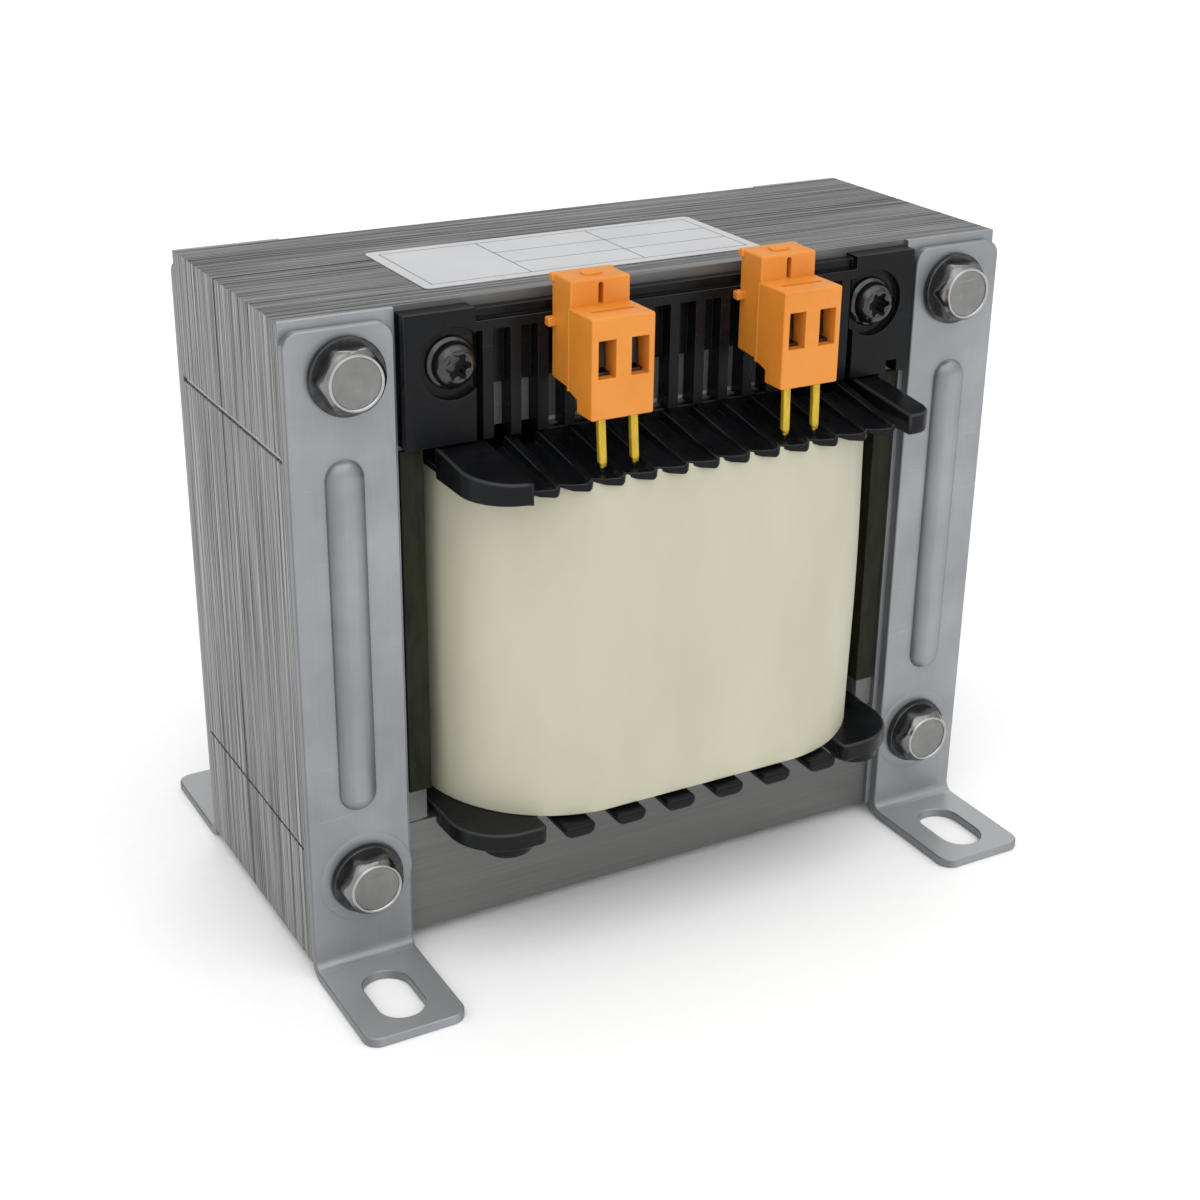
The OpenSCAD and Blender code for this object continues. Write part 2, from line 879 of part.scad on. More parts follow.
// The front half of the flanges' overhang: fins and wings above, tabs and lobes below
module bobbin_overhang() {
    for (i = [-fin_pairs : fin_pairs])
        slab(i * fin_pitch, fin_t)
            fin_profile();
    for (i = [1 - fin_pairs : fin_pairs])
        web(i * fin_pitch);
    for (i = [0 : tab_pairs - 1], sx = [-1, 1])
        sheet(coil_front_y + tab_over, coil_front_y + tab_over - over_y)
            translate([sx * (i + 0.5) * tab_pitch, 0])
                tab_outline();
    for (side = [0, 1])
        mirror([side, 0, 0]) {
            wing();
            lobe();
        }
}

module bobbin() {
    bore_h = bobbin_top_z - lower_joint_z + 2 * cut;
    color("#1e1f22")
        difference() {
            union() {
                translate([0, 0, lower_joint_z])
                    linear_extrude(bobbin_top_z - lower_joint_z)
                        square([2 * tube_ox, 2 * tube_oy], center = true);
                translate([0, 0, coil_low_z - flange_t])
                    linear_extrude(flange_t) {
                        coil_outline(-flange_inset);
                        square([coil_w + 2 * lobe_side, 2 * over_y], center = true);
                    }
                translate([0, 0, coil_top_z])
                    linear_extrude(flange_t) {
                        coil_outline(-flange_step);
                        square([coil_w + 2 * wing_side, 2 * over_y], center = true);
                    }
                bobbin_overhang();
                mirror([0, 1, 0])
                    bobbin_overhang();
            }
            translate([0, 0, lower_joint_z - cut])
                linear_extrude(bore_h)
                    square([2 * tube_ix, 2 * tube_iy], center = true);
            for (x = [-terminal_x, terminal_x], sx = [-1, 1])
                translate([x + sx * pole_x, -lead_y, coil_top_z - cut])
                    cylinder(h = bobbin_top_z - coil_top_z, r = lead_d / 2 + lead_clear);
        }
}

// Terminal carrier and its screws

// The end block on the right, with the recess and hole for its screw
module carrier_block() {
    difference() {
        sheet(carrier_y, carrier_t)
            translate([block_x, carrier_low_z])
                square([block_w, block_top_z - carrier_low_z]);
        translate([screw_x, 0, screw_z])
            rotate([90, 0, 0]) {
                translate([0, 0, screw_seat_y])
                    cylinder(h = recess_depth + cut, r = recess_r);
                cylinder(h = carrier_y, r = screw_d / 2 + bolt_clear);
            }
    }
}

// The rail's two steps and the wall under it, in y and z
module rail_profile() {
    translate([-carrier_y, rail_low_z])
        square([carrier_t, rail_step_h]);
    translate([-carrier_y + rail_step_in, rail_mid_z])
        square([carrier_t - rail_step_in, rail_step_h]);
    translate([-face_y - wall_t, wall_low_z])
        square([wall_t, rail_low_z - wall_low_z]);
}

module terminal_carrier() {
    color("#1c1d20")
        difference() {
            union() {
                carrier_block();
                mirror([1, 0, 0])
                    carrier_block();
                slab(0, 2 * block_x)
                    rail_profile();
                for (i = [-rib_pairs : rib_pairs])
                    sheet(carrier_y, carrier_t)
                        translate([i * rib_pitch - rib_w / 2, carrier_low_z])
                            square([rib_w, rail_low_z - carrier_low_z]);
            }
            translate([carrier_x - 2 * key_notch, -carrier_y - cut, carrier_low_z - cut])
                cube([key_notch, carrier_t + 2 * cut, key_notch + cut]);
        }
}

module carrier_screws() {
    crown = screw_head_h / 2;
    shank = screw_depth + screw_seat_y - face_y;
    head_r = screw_head_d / 2;
    dome_r = (head_r * head_r + crown * crown) / (2 * crown);
    socket_lobe_r = socket_d / 8;
    color("#26272a")
        for (sx = [-1, 1])
            translate([sx * screw_x, -screw_seat_y, screw_z])
                rotate([90, 0, 0])
                    difference() {
                        union() {
                            cylinder(h = screw_head_h - crown, r = head_r);
                            translate([0, 0, screw_head_h - crown])
                                rotate_extrude()
                                    intersection() {
                                        translate([0, crown - dome_r])
                                            circle(dome_r);
                                        square([head_r, crown]);
                                    }
                            translate([0, 0, -shank])
                                cylinder(h = shank, r = screw_d / 2);
                        }
                        translate([0, 0, screw_head_h - socket_depth])
                            linear_extrude(socket_depth + cut) {
                                circle(socket_d / 2 - socket_lobe_r);
                                for (a = [0 : 60 : 300])
                                    rotate(a)
                                        translate([socket_d / 2 - socket_lobe_r, 0])
                                            circle(socket_lobe_r);
                            }
                    }
}

// Terminals

// The rear of a terminal housing, in y and z
module terminal_rear_profile() {
    polygon([[-carrier_y, terminal_rear_z], [-carrier_y, terminal_top_z],
             [-terminal_step_y, terminal_top_z], [-terminal_step_y, terminal_step_z],
             [-terminal_foot_y, terminal_step_z], [-terminal_foot_y, terminal_rear_z - rear_fall]]);
}

// The front block of a terminal housing, in y and z
module terminal_front_profile() {
    polygon([[-terminal_step_y, terminal_step_z], [-terminal_front_y, terminal_step_z],
             [-terminal_front_y, terminal_low_z], [-terminal_foot_y, terminal_low_z],
             [-terminal_step_y, terminal_rear_z - rear_fall]]);
}

// lug_dx: place of the rear lug, which sits between two ribs
module terminal_housing(lug_dx) {
    rear_w = terminal_w - 2 * terminal_step;
    groove_y = (terminal_step_y + terminal_front_y) / 2;
    pad_y = carrier_y + upper_block_d / 2;
    difference() {
        union() {
            slab(0, rear_w)
                terminal_rear_profile();
            slab(0, terminal_w)
                terminal_front_profile();
            translate([-pad_w / 2, -pad_y - pad_d / 2, terminal_top_z - pad_h])
                cube([pad_w, pad_d, 2 * pad_h]);
            translate([-terminal_w / 2 - latch_reach, -carrier_y - latch_d, rail_mid_z - latch_h])
                cube([latch_reach + terminal_w / 4, latch_d, latch_h]);
            translate([lug_dx - lug_w / 2, -carrier_y - cut, lug_low_z])
                cube([lug_w, carrier_t - wall_t + cut, lug_top_z - lug_low_z]);
        }
        translate([-key_slot_w / 2, -terminal_step_y - cut, terminal_step_z])
            cube([key_slot_w, key_slot_d + cut, upper_block_h + cut]);
        translate([-groove_len / 2, -groove_y - groove_w / 2, terminal_step_z - groove_depth])
            cube([groove_len, groove_w, groove_depth + cut]);
        for (sx = [-1, 1])
            translate([sx * pole_x, 0, 0]) {
                translate([-entry_w / 2, -terminal_front_y - cut, entry_low_z])
                    cube([entry_w, entry_depth + cut, entry_h]);
                translate([0, -lead_y, terminal_low_z - cut])
                    cylinder(h = entry_low_z - terminal_low_z + 2 * cut, r = lead_d / 2 + lead_clear);
            }
    }
}

module left_terminal() {
    color("#f0963c")
        translate([-terminal_x, 0, 0])
            terminal_housing(terminal_x - lug_x);
}

module right_terminal() {
    color("#f0963c")
        translate([terminal_x, 0, 0])
            terminal_housing(lug_x - terminal_x);
}

// A spring clamp in y and z: a floor plate, an upright and a tongue bent down over the wire
module clamp_profile() {
    tongue_r = entry_h / 4;
    bend_mid_z = entry_top_z - clamp_clear - tongue_r;
    bend_mid_y = entry_back_y + tongue_r;
    floor_len = terminal_front_y - lead_wall - entry_back_y;
    translate([-entry_back_y - floor_len, entry_low_z])
        square([floor_len, clamp_t]);
    translate([-entry_back_y - clamp_t, entry_low_z])
        square([clamp_t, bend_mid_z - entry_low_z]);
    translate([-bend_mid_y, bend_mid_z])
        intersection() {
            difference() {
                circle(tongue_r);
                circle(tongue_r - clamp_t);
            }
            translate([-tongue_r, 0])
                square([2 * tongue_r, tongue_r]);
        }
    translate([-bend_mid_y - tongue_r, bend_mid_z - tongue_r])
        square([clamp_t, tongue_r]);
}

module terminal_clamps() {
    color("#b9bcc0")
        for (x = [-terminal_x, terminal_x], sx = [-1, 1])
            slab(x + sx * pole_x, entry_w - 2 * clamp_clear)
                clamp_profile();
}

module lead_pins() {
    color("#cdaf32")
        for (x = [-terminal_x, terminal_x], sx = [-1, 1])
            translate([x + sx * pole_x, -lead_y, coil_top_z])
                cylinder(h = entry_low_z - coil_top_z, r = lead_d / 2);
}

// Label

module rating_label() {
    color("#d7d8e0")
        translate([label_x, label_y, core_top_z])
            linear_extrude(label_t)
                square([label_w, label_d], center = true);
}

bottom_yoke();
left_limb();
centre_limb();
right_limb();
top_yoke();
lower_gap_sheets();
upper_gap_spacers();
left_limb_liner();
right_limb_liner();
front_left_strip();
front_right_strip();
rear_left_strip();
rear_right_strip();
front_left_bracket();
front_right_bracket();
rear_left_bracket();
rear_right_bracket();
bolt_sleeves();
core_bolts();
front_washers();
rear_washers();
core_nuts();
bobbin();
winding();
coil_wrap();
terminal_carrier();
carrier_screws();
left_terminal();
right_terminal();
terminal_clamps();
lead_pins();
rating_label();
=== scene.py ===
import math
import random

import bmesh
import bpy
from mathutils import Matrix, Vector


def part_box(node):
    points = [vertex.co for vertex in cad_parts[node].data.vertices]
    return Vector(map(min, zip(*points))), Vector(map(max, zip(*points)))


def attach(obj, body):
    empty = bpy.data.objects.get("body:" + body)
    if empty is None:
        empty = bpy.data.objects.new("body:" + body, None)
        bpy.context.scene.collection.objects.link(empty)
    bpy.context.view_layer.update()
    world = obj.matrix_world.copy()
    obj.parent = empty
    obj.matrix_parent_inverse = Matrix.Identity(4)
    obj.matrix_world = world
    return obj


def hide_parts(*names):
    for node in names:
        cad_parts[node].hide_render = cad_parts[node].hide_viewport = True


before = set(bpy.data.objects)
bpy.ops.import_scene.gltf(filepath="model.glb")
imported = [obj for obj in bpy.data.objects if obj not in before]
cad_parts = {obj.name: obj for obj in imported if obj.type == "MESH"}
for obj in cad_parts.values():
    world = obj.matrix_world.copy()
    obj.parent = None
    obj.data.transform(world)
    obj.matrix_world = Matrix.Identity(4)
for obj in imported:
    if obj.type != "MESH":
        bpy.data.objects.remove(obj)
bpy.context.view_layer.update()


# Camera
# The photograph's own view: from the front left and well above the terminals, through a short
# telephoto lens. The turns are in degrees, the roll is the small tilt of the picture itself.
MM = 0.001
CAMERA_AT = Vector((-180.0, -324.2, 216.4)) * MM
CAMERA_PITCH, CAMERA_YAW, CAMERA_ROLL = 23.96, 29.32, 0.77
CAMERA_LENS = 58.5
CAMERA_NEAR, CAMERA_FAR = 0.02, 100


def add_object(name, data):
    """An object in the scene."""
    made = bpy.data.objects.new(name, data)
    bpy.context.scene.collection.objects.link(made)
    return made


camera = add_object("camera", bpy.data.cameras.new("camera"))
camera.data.lens = CAMERA_LENS
camera.data.clip_start, camera.data.clip_end = CAMERA_NEAR, CAMERA_FAR
camera.matrix_world = (
    Matrix.Translation(CAMERA_AT)
    @ Matrix.Rotation(math.radians(-CAMERA_YAW), 4, "Z")
    @ Matrix.Rotation(math.radians(90 - CAMERA_PITCH), 4, "X")
    @ Matrix.Rotation(math.radians(CAMERA_ROLL), 4, "Z")
)
bpy.context.scene.camera = camera


# Studio
# A wide pale floor under one large soft light from above in front, a weaker one from the left and a
# small one from behind that picks out edges, in a room that is darker behind and looks white.
FLOOR_SIZE = 30.0
FLOOR_SHADE, FLOOR_LIGHT = 0.97, 0.97 * 1.02
LIGHTS = {  # strength, then spread and turn in degrees
    "key_light": (1.0, 75, (38, 0, -2)),
    "fill_light": (0.62, 90, (62, 0, -64)),
    "rim_light": (0.28, 30, (-44, 0, -30)),
}
ROOM_FRONT, ROOM_BACK, ROOM_SEEN = (0.68, 0.95), (0.34, 1.05), (1, 1, 1)


def add_node(tree, kind, inputs=None, **settings):
    """A shader node; each input is a value or another node's output."""
    made = tree.nodes.new("ShaderNode" + kind)
    for name, value in settings.items():
        setattr(made, name, value)
    for name, value in (inputs or {}).items():
        if isinstance(value, bpy.types.NodeSocket):
            tree.links.new(value, made.inputs[name])
        else:
            made.inputs[name].default_value = value
    return made


def new_material(name, **sockets):
    """A material, its tree and its shader, with values for some sockets."""
    material = bpy.data.materials.new(name)
    material.use_nodes = True
    shader = material.node_tree.nodes["Principled BSDF"]
    for socket, value in sockets.items():
        name = socket.replace("_", " ").title().replace("Ior", "IOR")
        shader.inputs[name].default_value = value
    return material, material.node_tree, shader


def ramp(tree, factor, *stops):
    """A colour ramp through (place, grey or colour) stops."""
    made = add_node(tree, "ValToRGB", {"Fac": factor})
    while len(made.color_ramp.elements) < len(stops):
        made.color_ramp.elements.new(0.5)
    for element, (place, shade) in zip(made.color_ramp.elements, stops):
        element.position = place
        element.color = (*shade, 1) if isinstance(shade, tuple) else (shade, shade, shade, 1)
    return made.outputs["Color"]


def mix(tree, share, first, second, kind="RGBA"):
    """A mix of two colours, values or vectors."""
    slot = ("FLOAT", "VECTOR", "RGBA").index(kind)
    first, second = ((*end, 1) if isinstance(end, tuple) else end for end in (first, second))
    sockets = {0: share, 2 + 2 * slot: first, 3 + 2 * slot: second}
    return add_node(tree, "Mix", sockets, data_type=kind).outputs[slot]


def blend(tree, factor, low, high):
    """A ramp between two greys or colours over most of a grain's range."""
    return ramp(tree, factor, (0.3, low), (0.7, high))


def noise(tree, vector, scale, detail=2.0, roughness=0.5):
    """Noise over a vector, as a value and as a colour."""
    return add_node(tree, "TexNoise", {
        "Vector": vector, "Scale": scale, "Detail": detail, "Roughness": roughness,
    }).outputs


def grain(tree, scale, stretch=(1, 1, 1), detail=3.0, roughness=0.55):
    """Noise in cells per millimetre, drawn out where the stretch is small."""
    place = add_node(tree, "TexCoord").outputs["Object"]
    drawn = add_node(tree, "VectorMath", {0: place, 1: stretch}, operation="MULTIPLY")
    return noise(tree, drawn.outputs["Vector"], scale / MM, detail, roughness)["Fac"]


def coat(shader, colour, roughness=None, height=None, depth=0.0, strength=1.0):
    """Sets colour, roughness and a relief, its depth in millimetres."""
    tree = shader.id_data
    tree.links.new(colour, shader.inputs["Base Color"])
    if roughness is not None:
        tree.links.new(roughness, shader.inputs["Roughness"])
    if height is not None:
        bump = add_node(tree, "Bump", {
            "Height": height, "Distance": depth * MM, "Strength": strength,
        })
        tree.links.new(bump.outputs["Normal"], shader.inputs["Normal"])


def add_mesh(bm, name, material):
    """An object made from a bmesh."""
    mesh = bpy.data.meshes.new(name)
    bm.to_mesh(mesh)
    bm.free()
    mesh.materials.append(material)
    return add_object(name, mesh)


paper, tree, shader = new_material("studio_paper", roughness=0.9)
coat(shader, blend(tree, grain(tree, 0.4), FLOOR_SHADE, FLOOR_LIGHT))
bm = bmesh.new()
bmesh.ops.create_grid(bm, x_segments=8, y_segments=8, size=FLOOR_SIZE)
floor = add_mesh(bm, "studio_floor", paper)

for name, (strength, spread, turn) in LIGHTS.items():
    lamp = add_object(name, bpy.data.lights.new(name, "SUN"))
    lamp.data.energy = strength
    lamp.data.angle = math.radians(spread)
    lamp.rotation_euler = [math.radians(angle) for angle in turn]

room = bpy.data.worlds.new("studio_room")
room.use_nodes = True
tree = room.node_tree
direction = add_node(tree, "TexCoord").outputs["Generated"]
parts = add_node(tree, "SeparateXYZ", {"Vector": direction}).outputs
front, back = (
    ramp(tree, parts["Z"], (0.3, low), (0.95, high)) for low, high in (ROOM_FRONT, ROOM_BACK)
)
light = mix(tree, ramp(tree, parts["Y"], (0.0, 0.0), (0.5, 1.0)), front, back)
light = mix(tree, add_node(tree, "LightPath").outputs["Is Camera Ray"], light, ROOM_SEEN)
tree.links.new(light, tree.nodes["Background"].inputs["Color"])
bpy.context.scene.world = room
bpy.context.scene.view_settings.view_transform = "Standard"


# Core
# Five packs of stamped electrical sheet, stacked from front to back in two packets and varnished.
# Every sheet's cut edge shows on the top and sides as a fine line, a little off the next.
SHEET_PITCH = 0.65 * MM
SHEET_GROOVE, SHEET_GROOVE_DEPTH = 0.11 * MM, 0.07 * MM
SHEET_UNEVEN, SHEET_STRAY = 0.08 * MM, 0.24
PACKET_LINE_Y, PACKET_LINE = 4.2 * MM, 0.4 * MM
# Cut edges facing left and right get lighter greys than the tops: painted light on the sides.
TOP_GREYS = ((0.37, 0.008), (0.44, 0.105), (0.52, 0.185), (0.61, 0.30))
SIDE_GREYS = ((0.37, 0.01), (0.44, 0.145), (0.52, 0.23), (0.61, 0.385))
GREY_BLUE = 0.993
# Front and rear sheet faces are darker than the cut edges: partly their own rolled surface, partly
# painted shade.
FACE_DARK, FACE_LIGHT = (0.152, 0.152, 0.147), (0.172, 0.172, 0.167)
LINE_DARK = (0.012, 0.012, 0.012)
MERGE = 1e-6
FLAT_BELOW, SMOOTH_BELOW = math.radians(0.4), math.radians(35)
# Convex, narrow, upward-facing edges are marked so black plastic can carry a painted highlight
# there.
HIGHLIGHT_ABOVE, HIGHLIGHT_WIDTH, HIGHLIGHT_TILT = math.radians(26), 0.35 * MM, -0.1
uneven = random.Random(7)


def join_flats(bm):
    """Makes one face of faces that lie in one plane."""
    bmesh.ops.dissolve_limit(bm, angle_limit=FLAT_BELOW, verts=bm.verts[:], edges=bm.edges[:])


def node_copy(name):
    """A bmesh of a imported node, its triangles joined into whole faces."""
    bm = bmesh.new()
    bm.from_mesh(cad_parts[name].data)
    bmesh.ops.remove_doubles(bm, verts=bm.verts[:], dist=MERGE)
    join_flats(bm)
    return bm


def make_piece(bm, name, material, slot, *nodes):
    """Makes a bmesh a piece that stands for those nodes, outer edges marked for painted highlight.
    """
    for face in bm.faces:
        face.smooth = True
    for edge in bm.edges:
        edge.smooth = edge.calc_face_angle(0) < SMOOTH_BELOW
    # Marks the edges that take a painted highlight.
    edge_highlight = bm.verts.layers.float.new("edge_highlight")
    narrow = {face: face.calc_area() < HIGHLIGHT_WIDTH * max(edge.calc_length() for edge in face.edges)
              for face in bm.faces}
    for vert in bm.verts:
        vert[edge_highlight] = (
            vert.normal.z > HIGHLIGHT_TILT
            and all(narrow[face] for face in vert.link_faces)
            and any(edge.calc_face_angle_signed(0) > HIGHLIGHT_ABOVE for edge in vert.link_edges)
        )
    made = add_mesh(bm, name, material)
    made.modifiers.new("even_shading", "WEIGHTED_NORMAL").keep_sharp = True
    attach(made, "root")
    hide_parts(*nodes)
    return made


def cut_at(bm, axis, place):
    """Cuts a bmesh across an axis."""
    normal = Vector((axis == "x", axis == "y", axis == "z"))
    bmesh.ops.bisect_plane(bm, geom=bm.verts[:] + bm.edges[:] + bm.faces[:],
                           plane_co=normal * place, plane_no=normal, dist=MERGE)


def lamination_pack(name, material):
    """A pack cut into sheets, with grooves between them and uneven edges."""
    bm = node_copy(name)
    low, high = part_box(name)
    sheets = round((high.y - low.y) / SHEET_PITCH)
    pitch = (high.y - low.y) / sheets
    for k in range(1, sheets):
        cut_at(bm, "y", low.y + (k + uneven.uniform(-SHEET_STRAY, SHEET_STRAY)) * pitch)
    for axis, plane, inwards in ((0, low.x, 1), (0, high.x, -1), (2, low.z, 1), (2, high.z, -1)):
        rims = [face for face in bm.faces
                if all(abs(vert.co[axis] - plane) < MERGE for vert in face.verts)]
        seams = {vert for face in rims for vert in face.verts
                 if low.y + MERGE < vert.co.y < high.y - MERGE}
        bmesh.ops.inset_individual(
            bm, faces=rims, thickness=SHEET_GROOVE / 2, use_even_offset=True
        )
        way = Vector((axis == 0, 0, axis == 2)) * inwards
        bmesh.ops.translate(bm, verts=list(seams), vec=way * SHEET_GROOVE_DEPTH)
        for face in rims:
            bmesh.ops.translate(bm, verts=face.verts[:], vec=way * uneven.uniform(0, SHEET_UNEVEN))
    make_piece(bm, name + "_sheets", material, "lamination_steel", name)


def reckon(tree, operation, *values):
    """The result of one step of arithmetic."""
    return add_node(tree, "Math", dict(enumerate(values)), operation=operation).outputs[0]


def along(tree, axis):
    """The place on the piece itself along that axis."""
    place = add_node(tree, "TexCoord").outputs["Object"]
    return add_node(tree, "SeparateXYZ", {"Vector": place}).outputs[axis]


def facing(tree, axis):
    """How far the surface faces along that axis."""
    normal = add_node(tree, "NewGeometry").outputs["Normal"]
    return add_node(tree, "SeparateXYZ", {"Vector": normal}).outputs[axis]


steel, tree, shader = new_material("lamination_steel", metallic=0.55)
sideways, endways = (reckon(tree, "ABSOLUTE", facing(tree, axis)) for axis in "XY")
lines = mix(tree, sideways, grain(tree, 1.0, (0.022, 3.0, 2.2), detail=4, roughness=0.6),
            grain(tree, 1.0, (2.2, 3.0, 0.02), detail=4, roughness=0.6), "FLOAT")
depth = along(tree, "Y")
core_low, core_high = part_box("top_yoke")
sheet = add_node(tree, "MapRange", {
    "Value": depth, "From Min": core_low.y, "From Max": core_high.y,
    "To Max": round((core_high.y - core_low.y) / SHEET_PITCH),
}).outputs["Result"]
shade = add_node(tree, "TexWhiteNoise", {"W": reckon(tree, "FLOOR", sheet)}, noise_dimensions="1D")
mixed = mix(tree, 0.09, lines, shade.outputs["Value"], "FLOAT")
# Painted light: edges facing sideways take the lighter side greys, the tops the darker ones.
tops, sides = (
    ramp(tree, mixed, *((place, (grey, grey, grey * GREY_BLUE)) for place, grey in greys))
    for greys in (TOP_GREYS, SIDE_GREYS)
)
joint = reckon(tree, "COMPARE", depth, PACKET_LINE_Y, 0.6 * PACKET_LINE)
edges = mix(tree, joint, mix(tree, sideways, tops, sides), LINE_DARK)
# Partly the sheet faces' own tone, partly painted shade: front and rear faces are made darker.
faces = blend(tree, lines, FACE_DARK, FACE_LIGHT)
coat(shader, mix(tree, endways, edges, faces),
     blend(tree, lines, 0.58, 0.40), lines, 0.04, 0.5)
for pack in ("bottom_yoke", "left_limb", "centre_limb", "right_limb", "top_yoke"):
    lamination_pack(pack, steel)


# Gap boards and bolt sleeves
# Pressed board cut to the limbs: spacers set the upper air gap, thin sheets lie in the lower
# joint, and rolled sleeves keep the bolts off the laminations. They show only at the seams.
BOARD_LIGHT, BOARD_DARK = (0.60, 0.60, 0.57), (0.44, 0.44, 0.41)


def dress_node(name, material):
    """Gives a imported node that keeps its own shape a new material."""
    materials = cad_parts[name].data.materials
    materials.clear()
    materials.append(material)


board, tree, shader = new_material("gap_board", roughness=0.8)
fibres = grain(tree, 1.8, (0.3, 1, 1), detail=4)
coat(shader, ramp(tree, fibres, (0.35, BOARD_DARK), (0.65, BOARD_LIGHT)), None, fibres, 0.04)
for name in ("lower_gap_sheets", "upper_gap_spacers", "bolt_sleeves"):
    dress_node(name, board)


# Limb liners
# A channel of dark insulating sheet folded round each outer limb on the coil's side, held by the
# strips beside it. Its folds are soft and its face has a faint waxy sheen.
LINER_EDGE = 0.18 * MM
LINER_DARK, LINER_LIGHT = (0.009, 0.0095, 0.0045), (0.020, 0.021, 0.010)


def ease(bm, edges, width, segments=3, clamp=True):
    """Rounds those edges."""
    bmesh.ops.bevel(
        bm, geom=list(edges), offset=width, offset_type="OFFSET", segments=segments,
        profile=0.5, affect="EDGES", clamp_overlap=clamp, loop_slide=True, material=-1,
    )


def sharp_edges(bm, above=40):
    """The edges that turn by more than that angle in degrees."""
    return [
        edge for edge in bm.edges
        if len(edge.link_faces) == 2 and edge.calc_face_angle() > math.radians(above)
    ]


def soften(bm, width, segments=3, above=40, clamp=True):
    """Rounds every sharp edge."""
    ease(bm, sharp_edges(bm, above), width, segments, clamp)


def eased_copy(name, width, segments=3):
    """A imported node's shape with its sharp edges rounded."""
    bm = node_copy(name)
    soften(bm, width, segments)
    return bm


liner, tree, shader = new_material("liner_board", specular_ior_level=0.12)
press = grain(tree, 0.6, (1, 1, 0.25), detail=4)
coat(shader, blend(tree, press, LINER_DARK, LINER_LIGHT),
     blend(tree, press, 0.34, 0.5), press, 0.03)
for side in ("left", "right"):
    bm = eased_copy(side + "_limb_liner", LINER_EDGE)
    make_piece(bm, side + "_liner_fold", liner, "liner_board", side + "_limb_liner")


# Zinc-coated sheet
# Strips and brackets are pressed from the same coated sheet: satin, faintly blue, with a soft cloud
# in the coating, rolling lines and a few scuffs. Sideways faces carry a painted shade and upward
# faces such as the feet a painted light.
ZINC_DARK, ZINC_MID, ZINC_LIGHT = (0.235, 0.248, 0.263), (0.28, 0.294, 0.31), (0.33, 0.345, 0.362)
ZINC_SCUFF, ZINC_TOP_LIGHT, ZINC_FLANK_SHADE = (0.5, 0.52, 0.54), (0.46, 0.485, 0.485), (0.05, 0.053, 0.057)


def handling_marks():
    """A node group with masks of short scratches and of soft smudges."""
    group = bpy.data.node_groups.new("handling_marks", "ShaderNodeTree")
    for name, way in (("Scale", "INPUT"), ("Scratches", "OUTPUT"), ("Smudges", "OUTPUT")):
        group.interface.new_socket(name, in_out=way, socket_type="NodeSocketFloat")
    size = group.nodes.new("NodeGroupInput").outputs["Scale"]
    out = group.nodes.new("NodeGroupOutput").inputs
    place = add_node(group, "TexCoord").outputs["Object"]
    place = add_node(group, "VectorMath", {0: place, "Scale": size}, operation="SCALE")
    place = place.outputs["Vector"]
    bent = mix(group, 0.12, place, noise(group, place, 0.7)["Color"], "VECTOR")
    drawn = add_node(group, "Mapping", {"Vector": bent, "Scale": (0.15, 6, 5),
                                        "Rotation": (0.5, 0.3, 0.7)}).outputs["Vector"]
    hairs = ramp(group, noise(group, drawn, 2.0)["Fac"], (0.66, 0.0), (0.70, 1.0))
    where = ramp(group, noise(group, place, 0.25)["Fac"], (0.5, 0), (0.62, 1))
    soft = noise(group, place, 0.12, 4.0, 0.65)["Fac"]
    group.links.new(mix(group, where, 0.0, hairs, "FLOAT"), out["Scratches"])
    group.links.new(ramp(group, soft, (0.35, 0), (0.65, 1)), out["Smudges"])
    return group


marks_group = handling_marks()


def marks(tree, scale):
    """The scratches and smudges on one material, in cells per millimetre."""
    made = add_node(tree, "Group", node_tree=marks_group)
    made.inputs["Scale"].default_value = scale / MM
    return made.outputs["Scratches"], made.outputs["Smudges"]


zinc, tree, shader = new_material("zinc_sheet", metallic=0.5)
scratches, smudges = marks(tree, 0.25)
lines = grain(tree, 2.2, (1, 1, 0.03))
cloud = mix(tree, 0.15, grain(tree, 0.05), lines, "FLOAT")
metal = ramp(tree, cloud, (0.3, ZINC_DARK), (0.5, ZINC_MID), (0.7, ZINC_LIGHT))
metal = mix(tree, reckon(tree, "MULTIPLY", scratches, 0.2), metal, ZINC_SCUFF)
# Painted light: faces turned upwards, such as the feet, are made lighter.
metal = mix(tree, ramp(tree, facing(tree, "Z"), (0.85, 0.0), (0.97, 0.6)), metal, ZINC_TOP_LIGHT)
# Painted shade: faces turned sideways, such as the bead's flanks and the sheet's edges, are made
# darker.
sideways = reckon(tree, "ABSOLUTE", facing(tree, "X"))
metal = mix(tree, ramp(tree, sideways, (0.08, 0.0), (0.7, 0.5)), metal, ZINC_FLANK_SHADE)
coat(shader, metal, ramp(tree, smudges, (0.0, 0.30), (1.0, 0.39)), lines, 0.008, 0.3)


# Backing strips
# A thin flat strip lies between each bracket and the laminations and spreads the bolts' pressure;
# the bolts hold it, and a narrow lip of it shows beside and above the bracket.
STRIP_EDGE = 0.22 * MM
CORNERS = [(end, side) for end in ("front", "rear") for side in ("left", "right")]
for end, side in CORNERS:
    strip = f"{end}_{side}_strip"
    make_piece(eased_copy(strip, STRIP_EDGE), strip + "_sheet", zinc, "zinc_sheet", strip)


# Brackets
# Four angle brackets bent from sheet, each with a slotted foot, a long pressed bead that stiffens
# its upright, and a shallow pressed ring round the lower bolt. The bolts clamp them to the core.
def in_mm(*lengths):
    """Lengths given in millimetres."""
    return [length * MM for length in lengths]


